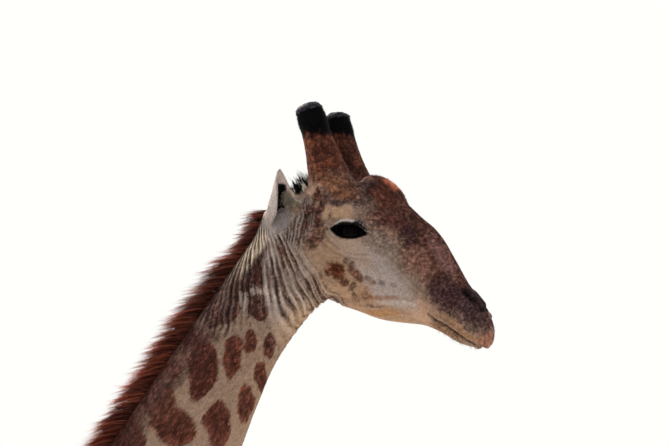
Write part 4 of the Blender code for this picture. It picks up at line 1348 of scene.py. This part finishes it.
def mane_spikes(count):
    """The clumps of the mane's hair, scattered along the crest."""
    line = crest_line()
    share = random.random(count) ** 0.95
    at = share * (len(line) - 1)
    low = np.minimum(at.astype(int), len(line) - 2)
    step = line[low + 1] - line[low]
    along = unit(step)
    side = unit(np.cross(along, DORSAL))
    offset = np.clip(random.normal(0, 0.0080, count), -0.018, 0.018)
    middle = line[low] + step * (at - low)[:, None] + side * offset[:, None]
    ends = 0.45 + 0.55 * smoothstep(share, 0.0, 0.06) * (1 - 0.4 * smoothstep(share, 0.90, 1.0))
    reach = np.interp(share, [0, 0.7, 0.9, 1], [0.094, 0.096, 0.106, 0.090])
    reach = reach * random.uniform(0.66, 1.10, count) * ends
    lean = np.interp(share, [0, 0.5, 1], [1.25, 0.95, 0.75]) + random.normal(0, 0.14, count)
    splay = offset * 14 + random.normal(0, 0.07, count)
    rise = unit(DORSAL + side * splay[:, None] - along * (lean * 0.7)[:, None])
    red = np.clip(0.35 + 0.4 * noise(middle, 0.03, 6.0) + random.normal(0, 0.22, count), 0, 1)
    # Painted light: the mane is made up to 1.7 times lighter towards the withers, standing in for the
    # backlight glowing through it.
    pale = np.interp(share, [0, 0.6, 0.8, 1], [1.7, 1.4, 0.95, 1.0])
    tints = mixed(MANE_DARK, MANE_RED, red) * pale[:, None]
    return Spikes(middle, offset, share, along, side, reach, lean, rise, tints)


def make_mane():
    """A brush of stiff hair on the neck's crest, in spikes that lean back towards the withers."""
    clumps, each = 2600, 12
    of = Spikes(*(np.repeat(values, each, axis=0) for values in mane_spikes(clumps)))
    count = clumps * each
    spread = random.normal(0, 0.0034, (count, 3))
    spread -= DORSAL * (spread @ DORSAL)[:, None]
    roots = of.middle + spread - DORSAL * 0.006
    length = of.reach * random.uniform(0.72, 1.0, count)
    bend = -of.along * (of.lean * 0.40)[:, None] - DORSAL * 0.08 - spread * 0.75 / length[:, None]
    across = unit(of.side + of.along * random.normal(0, 0.6, count)[:, None])
    way = np.clip(0.5 + (of.offset + spread @ DORSAL) * 24, 0.01, 0.98)
    places = np.column_stack([0.01 + 0.97 * of.share, way])
    # The mane's tips are lightened 1.7 times: a painted highlight.
    add_hair("mane_hair", "mane", roots, of.rise, bend, across, length, 0.0024,
             shades(of.tints, count, 0.75, 1.25), places, 3, 1.7, nodes=["mane"])


def make_tail_hair():
    """Long black hair that hangs from the end of the tail."""
    corners = corners_of(NODES["tail_tuft"].data)
    top, bottom = corners[:, 2].max(), corners[:, 2].min()
    count = 5200
    share = random.random(count) ** 1.6
    height = top - 0.015 - share * 0.22 * (top - bottom)
    turn = random.uniform(0, 2 * math.pi, count)
    round_about = np.column_stack([np.cos(turn), np.sin(turn), np.zeros(count)])
    near_top = np.abs(corners[:, 2] - top) < 0.05
    middle = corners[near_top].mean(0)
    roots = np.column_stack([np.full(count, middle[0]), np.full(count, middle[1]), height])
    roots += round_about * (random.random(count) ** 0.5 * (0.012 + 0.012 * share))[:, None]
    length = (height - bottom) * random.uniform(0.55, 1.0, count)
    rise = unit(np.array((0, 0, -1.0)) + round_about * random.uniform(0.06, 0.26, count)[:, None])
    bend = -round_about * random.uniform(0.04, 0.20, count)[:, None] + random.normal(0, 0.03, (count, 3))
    bend[:, 2] = -0.02
    across = unit(np.cross(rise, round_about) + random.normal(0, 0.3, (count, 3)))
    places = np.column_stack([0.01 + 0.97 * turn / (2 * math.pi), 0.01 + 0.97 * share])
    add_hair("tail_hair", "tail_tuft", roots, rise, bend, across, length * 0.97, 0.0032,
             shades(TAIL_HAIR, count, 0.6, 1.7), places, 6, 1.3, nodes=["tail_tuft"])


def make_ossicone_hair(surface):
    """A fringe of black hair that stands up round each ossicone's bald top."""
    count, chosen = 9000, 0
    for side, name in zip(SIDES, OSSICONES):
        height = ossicone_height(surface.centres, side)
        ring = smoothstep(height, 0.66, 0.80) * fade(height, 0.93, 0.965)
        chosen = chosen + surface.on(name) * ring
    roots = surface.draw(chosen, count)
    lift = random.uniform(0.25, 0.6, count)[:, None]
    rise = unit(roots.lie * 0.9 + roots.normals * lift + random.normal(0, 0.13, (count, 3)))
    tints = shades(BLACK, count, 0.6, 2.2)
    length = random.uniform(0.008, 0.017, count)
    skin_hair("ossicone_hair", "ossicone", roots, OSSICONES, rise, -roots.normals * 0.25, length, 0.0016,
              tints, 0.001)


def make_ear_hair(surface):
    """White hair that fringes the ears' inner rims and reaches over their hollows."""
    parts = []
    for side, name in zip(SIDES, EARS):
        along, across, run, facing = ear_place(surface.centres, side)
        rim = smoothstep(-across, 0.12, 0.16) * smoothstep(along, 0.10, 0.20)
        rim = rim * fade(along, 0.54, 0.64)
        roots = surface.draw(surface.on(name) * rim, 2400)
        rise = turned(np.cross(run, facing) * side * 0.75 + run * 0.50 + facing * 0.45)
        parts.append((*roots, unit(rise + random.normal(0, 0.15, roots.at.shape))))
    *roots, rise = (np.concatenate(part) for part in zip(*parts))
    count = len(rise)
    tints = shades(EAR_WHITE, count, 0.75, 1.0)
    bend = random.normal(0, 0.08, (count, 3))
    length = random.uniform(0.010, 0.021, count)
    skin_hair("ear_hair", "coat", Roots(*roots), EARS, rise, bend, length, 0.0012, tints)


def head_spot(surface, middle, half, inner, outer):
    """The head's triangles about a point and its mirror image, fading between two measures."""
    local = to_head(surface.centres)
    local[:, 1] = np.abs(local[:, 1])
    reach = np.linalg.norm((local - np.array(middle)) / np.array(half), axis=1)
    return surface.on("head") * fade(reach, inner, outer)


def make_poll_hair(surface):
    """Short spiky hair, black and cream, on the poll between the ears and the ossicones."""
    count = 620
    poll = head_spot(surface, (-0.208, 0.078, 0.030), (0.030, 0.040, 0.036), 0.6, 1.2)
    roots = surface.draw(poll, count)
    rise = unit(roots.normals * 0.5 + turned((-0.80, 0.0, 0.62)) + random.normal(0, 0.25, (count, 3)))
    dark = noise(roots.at, 0.016, 3.0) + random.normal(0, 0.05, count) > -0.02
    tints = shades(np.where(dark[:, None], POLL_DARK, POLL_CREAM), count, 0.7, 1.2)
    bend = random.normal(0, 0.12, (count, 3))
    length = random.uniform(0.012, 0.026, count) * np.where(dark, 1.6, 1.0)
    skin_hair("poll_hair", "mane", roots, ["head"], rise, bend, length, 0.0024, tints)


def make_horn_hair(surface):
    """Rough hair on the crown of the median horn."""
    count = 2600
    crown = head_spot(surface, (-0.005, 0.0, 0.150), (0.062, 0.045, 0.030), 0.5, 1.3)
    roots = surface.draw(crown, count)
    rise = unit(roots.normals * 0.6 + roots.lie * 0.8 + random.normal(0, 0.30, (count, 3)))
    length = random.uniform(0.004, 0.008, count)
    tints = shades(roots.tints, count, 0.6, 1.8)
    skin_hair("median_horn_hair", "coat", roots, ["head"], rise, roots.lie * 0.3, length, 0.0012, tints)


def make_lip_hair(surface):
    """Sparse bristles on the chin and the lips."""
    count, at = 260, side_view(surface.centres)
    share = np.maximum(ellipse_share(at, CHIN, 0.7, 1.1), 0.25 * ellipse_share(at, MUZZLE, 0.7, 1.1))
    roots = surface.draw(surface.on("head") * share, count)
    rise = unit(roots.normals + turned((0.9, 0, -0.3)) + random.normal(0, 0.25, (count, 3)))
    tints = shades(BRISTLE, count, 0.5, 2.0)
    bend = np.tile(turned((0.1, 0, -0.35)), (count, 1))
    length = random.uniform(0.004, 0.009, count)
    skin_hair("lip_bristles", "coat", roots, ["head"], rise, bend, length, 0.0007, tints)


def lid_points(count, upper, offset):
    """Places along both eyes' lids: (roots, the way out from each, share along the lid)."""
    share = (np.arange(count) + 0.5) / count
    u = (share * 2 - 1) * SLIT_HALF * 0.96
    v = (slit_edge(u, upper) + offset) * (1 if upper else -1)
    roots, ways = [], []
    for side in SIDES:
        way = turned((0, side, 0))
        for start in from_head(from_slit(u, v, np.full(count, side * 0.30))):
            roots.append(on_skin(start, -way))
            ways.append(way)
    return np.array(roots), np.array(ways), np.tile(share, 2)


def make_lashes():
    """Long dark lashes on the upper lids, short ones on the lower."""
    parts = []
    for upper, count, reach in ((True, 420, 0.024), (False, 120, 0.012)):
        roots, out, share = lid_points(count, upper, 0.0015)
        down = turned((0.25, 0, -0.55 if upper else -0.35))
        rise = unit(out * 0.75 + down + turned((0.5, 0, 0)) * (share - 0.5)[:, None]
                    + random.normal(0, 0.10, roots.shape))
        bend = turned((0.0, 0, 0.28 if upper else -0.05)) + out * 0.05
        length = reach * random.uniform(0.7, 1.1, len(roots)) * (0.55 + 0.45 * np.sin(math.pi * share))
        if upper:
            tuft = (smoothstep(share, 0.55, 0.70) * (random.random(len(share)) < 0.7))[:, None]
            upward = out * 0.5 + turned((0.30, 0, 0.75)) + random.normal(0, 0.22, roots.shape)
            rise = unit(rise * (1 - tuft) + tuft * upward)
            bend = bend * (1 - 0.8 * tuft)
        parts.append((roots - out * 0.001, rise, bend, length, share))
    roots, rise, bend, length, share = (np.concatenate(part) for part in zip(*parts))
    across = unit(np.cross(rise, turned((0, 0, 1))))
    places = np.column_stack([0.01 + 0.97 * share, np.full(len(share), 0.5)])
    add_hair("lashes", "eye", roots, rise, bend, across, length, 0.0012,
             np.tile(BLACK, (len(share), 1)), places, 3)


# ---- Eyes, worn horn tops and hooves --------------------------------------------------------


def solid_piece(name, data, material, nodes=()):
    """A smooth piece of one material."""
    data.materials.clear()
    data.materials.append(material)
    data.shade_smooth()
    return new_object(name, data, nodes)


def eye_material():
    return tinted("eye_glass", 300, 0.8, 1.2, Roughness=0.06, Specular_IOR_Level=0.025)[0]


def make_eye(side, word):
    """An eyeball with a level pupil in a dark brown iris, under a clear cornea."""
    mesh = bmesh.new()
    bmesh.ops.create_uvsphere(mesh, u_segments=56, v_segments=40, radius=EYE_RADIUS)
    data = finished(mesh, "eyeball_" + word)
    local = corners_of(data)
    around = np.arccos(np.clip(local @ unit(np.array((0.10, side, -0.03))) / EYE_RADIUS, -1, 1))
    pupil = np.hypot(local[:, 0] / 0.0085, local[:, 2] / 0.0048)
    tints = mixed(IRIS, IRIS_RIM, smoothstep(around, 0.30, 0.50))
    tints = mixed(tints, BLACK, fade(pupil, 0.9, 1.1) * (around < 0.6))
    set_tints(data, mixed(tints, EYE_BACK, smoothstep(around, 0.62, 0.80)))
    swell = 1 + 0.030 * fade(around, 0.25, 0.62)
    set_corners(data, from_head(local * swell[:, None] + np.array((0, side * EYE_OUT, 0))))
    solid_piece("eyeball_" + word, data, EYE_GLASS, ["eye_" + word])


def make_horn_cap(side, word):
    """The worn, bald bone on top of an ossicone."""
    foot, run = ossicone_axis(side)
    one = unit(np.cross(run, (0, 1, 0)))
    axes = np.array([one, np.cross(run, one), run])
    mesh = bmesh.new()
    bmesh.ops.create_icosphere(mesh, subdivisions=5, radius=1.0)
    data = finished(mesh, "horn_top_" + word)
    ball = corners_of(data)
    lumps = 1 + 0.07 * noise(ball, 0.35, side) + 0.05 * noise(ball, 0.14, 4.0)
    ball = ball * lumps[:, None] * HORN_TOP_RADII
    set_corners(data, from_head(foot + run * (OSSICONE_LENGTH - 0.0165) + ball @ axes))
    solid_piece("horn_top_" + word, data, HORN)


def horn_material():
    """Bone worn bare: grey brown, pitted."""
    material, tree, principled = shader("worn_horn", Roughness=0.6, Specular_IOR_Level=0.2)
    pits = noise_node(tree, 160, 6.0)
    add_ramp(tree, pits, "Fac", principled, "Base Color", (HORN_PIT, HORN_BONE), (0.36, 0.66))
    add_bump(tree, principled, pits, 0.7, 0.002)
    return material


def hoof_material():
    """Dark horn with level growth rings, paler where scuffed."""
    material, tree, principled = shader("hoof_horn", Roughness=0.5)
    rings = noise_node(tree, 90, 4.0, (0.08, 0.08, 1.0))
    scuffs = noise_node(tree, 60, 6.0, (1.0, 1.0, 0.35))
    mix = add_node(tree, "Math")
    mix.operation = "MULTIPLY"
    link(tree, rings, "Fac", mix, 0)
    link(tree, scuffs, "Fac", mix, 1)
    add_ramp(tree, mix, "Value", principled, "Base Color", (HOOF_DARK, HOOF_PALE), (0.12, 0.45))
    add_bump(tree, principled, rings, 0.6, 0.004)
    return material


def make_claw(node):
    """A claw of a foot, rounded, with growth rings."""
    mesh = bmesh.new()
    mesh.from_mesh(NODES[node].data)
    bmesh.ops.remove_doubles(mesh, verts=mesh.verts, dist=1e-5)
    bmesh.ops.join_triangles(mesh, faces=mesh.faces, angle_face_threshold=0.6, angle_shape_threshold=1.2)
    name = node.replace("hoof_", "claw_")
    made = solid_piece(name, finished(mesh, name), HOOF, [node])
    bevel = made.modifiers.new("edges", "BEVEL")
    bevel.width = 0.004
    bevel.segments = 3
    bevel.limit_method = "ANGLE"
    bevel.angle_limit = math.radians(40)
    smooth = made.modifiers.new("rings", "SUBSURF")
    smooth.levels = smooth.render_levels = 1


# ---- Camera, light and floor ------------------------------------------------------------------

VIEW_AZIMUTH = math.radians(-10)
VIEW_ELEVATION = math.radians(-10.5)
CAMERA_DISTANCE = 16.0
SENSOR_WIDTH = 36                          # in millimetres
VIEW_WIDTH = 1.713
AIM_RIGHT, AIM_UP = -0.0914, 0.0408        # middle of the view, from the middle of the head


def direction(azimuth, elevation):
    """The way towards a place, from its azimuth and its elevation."""
    return Vector((math.sin(azimuth) * math.cos(elevation), -math.cos(azimuth) * math.cos(elevation),
                   math.sin(elevation)))


def level_turn(way):
    """The turn that looks back along a way, level with the horizon."""
    return way.to_track_quat("Z", "Y")


def place_camera():
    back = direction(VIEW_AZIMUTH, VIEW_ELEVATION)
    look = level_turn(back)
    target = HEAD_AT + look @ Vector((AIM_RIGHT, AIM_UP, 0))
    lens = bpy.data.cameras.new("camera")
    lens.sensor_width = SENSOR_WIDTH
    lens.lens = SENSOR_WIDTH * CAMERA_DISTANCE / VIEW_WIDTH
    lens.clip_end = 200
    camera = placed("camera", lens)
    camera.matrix_world = Matrix.Translation(target + back * CAMERA_DISTANCE) @ look.to_matrix().to_4x4()
    bpy.context.scene.camera = camera


def make_sky():
    """A bright sky ahead of the camera's place and a softer one behind it: the giraffe is backlit."""
    world = bpy.data.worlds.new("sky")
    world.use_nodes = True
    tree = world.node_tree
    place = add_node(tree, "TexCoord")
    dot = add_node(tree, "VectorMath")
    dot.operation = "DOT_PRODUCT"
    dot.inputs[1].default_value = -direction(VIEW_AZIMUTH, VIEW_ELEVATION)
    half = add_node(tree, "Math")
    half.operation = "MULTIPLY_ADD"
    half.inputs[1].default_value = 0.5
    half.inputs[2].default_value = 0.5
    link(tree, place, "Generated", dot, 0)
    link(tree, dot, "Value", half, 0)
    background = tree.nodes["Background"]
    ramp = add_ramp(tree, half, "Value", background, "Color", (SKY_BEHIND, SKY_AHEAD), (0.30, 0.95))
    ramp.color_ramp.interpolation = "EASE"
    bpy.context.scene.world = world


def add_sun(name, strength, angle, elevation, azimuth, colour):
    """A soft sun that shines from an elevation and an azimuth, both in degrees."""
    sun = bpy.data.lights.new(name, "SUN")
    sun.energy = strength
    sun.angle = math.radians(angle)
    sun.color = colour
    toward = direction(math.radians(azimuth), math.radians(elevation))
    placed(name, sun).rotation_euler = level_turn(toward).to_euler()


def make_floor():
    mesh = bmesh.new()
    bmesh.ops.create_grid(mesh, x_segments=8, y_segments=8, size=15)
    data = finished(mesh, "floor")
    material, tree, principled = shader("floor_plain", Roughness=0.85)
    add_ramp(tree, noise_node(tree, 3.0, 6.0), "Fac", principled, "Base Color", FLOOR_COLOURS)
    data.materials.append(material)
    floor = placed("floor", data)


# ---- The giraffe ------------------------------------------------------------------------------

for leftover in ("Cube", "Light", "Camera"):
    if leftover in bpy.data.objects:
        bpy.data.objects.remove(bpy.data.objects[leftover])

COAT_HAIR = hair_material("coat_hair", 0.7)
LONG_HAIR = hair_material("long_hair", 0.6)
EYE_GLASS = eye_material()
HORN = horn_material()
HOOF = hoof_material()

SKIN = make_skin()
LABELS = label_points(corners_of(SKIN))
TINTS = paint_skin(LABELS)
set_tints(SKIN, TINTS)
solid_piece("skin", SKIN, skin_material(), FLESH)
SKIN_TREE = tree_of(SKIN)

SURFACE = Surface(LABELS, TINTS)
for coat_name, coat in COATS.items():
    coat_piece(SURFACE, coat_name, coat)
make_mane()
make_tail_hair()
make_ossicone_hair(SURFACE)
make_ear_hair(SURFACE)
make_poll_hair(SURFACE)
make_horn_hair(SURFACE)
make_lip_hair(SURFACE)
make_lashes()
for side, word in zip(SIDES, SIDE_WORDS):
    make_eye(side, word)
for side, word in zip(SIDES, SIDE_WORDS):
    make_horn_cap(side, word)
for node in sorted(NODES):
    if node.startswith("hoof_"):
        make_claw(node)

place_camera()
make_sky()
add_sun("sun_behind", 4.5, 3, 40, -138, SUNLIGHT)
make_floor()
bpy.context.scene.view_settings.view_transform = "Standard"
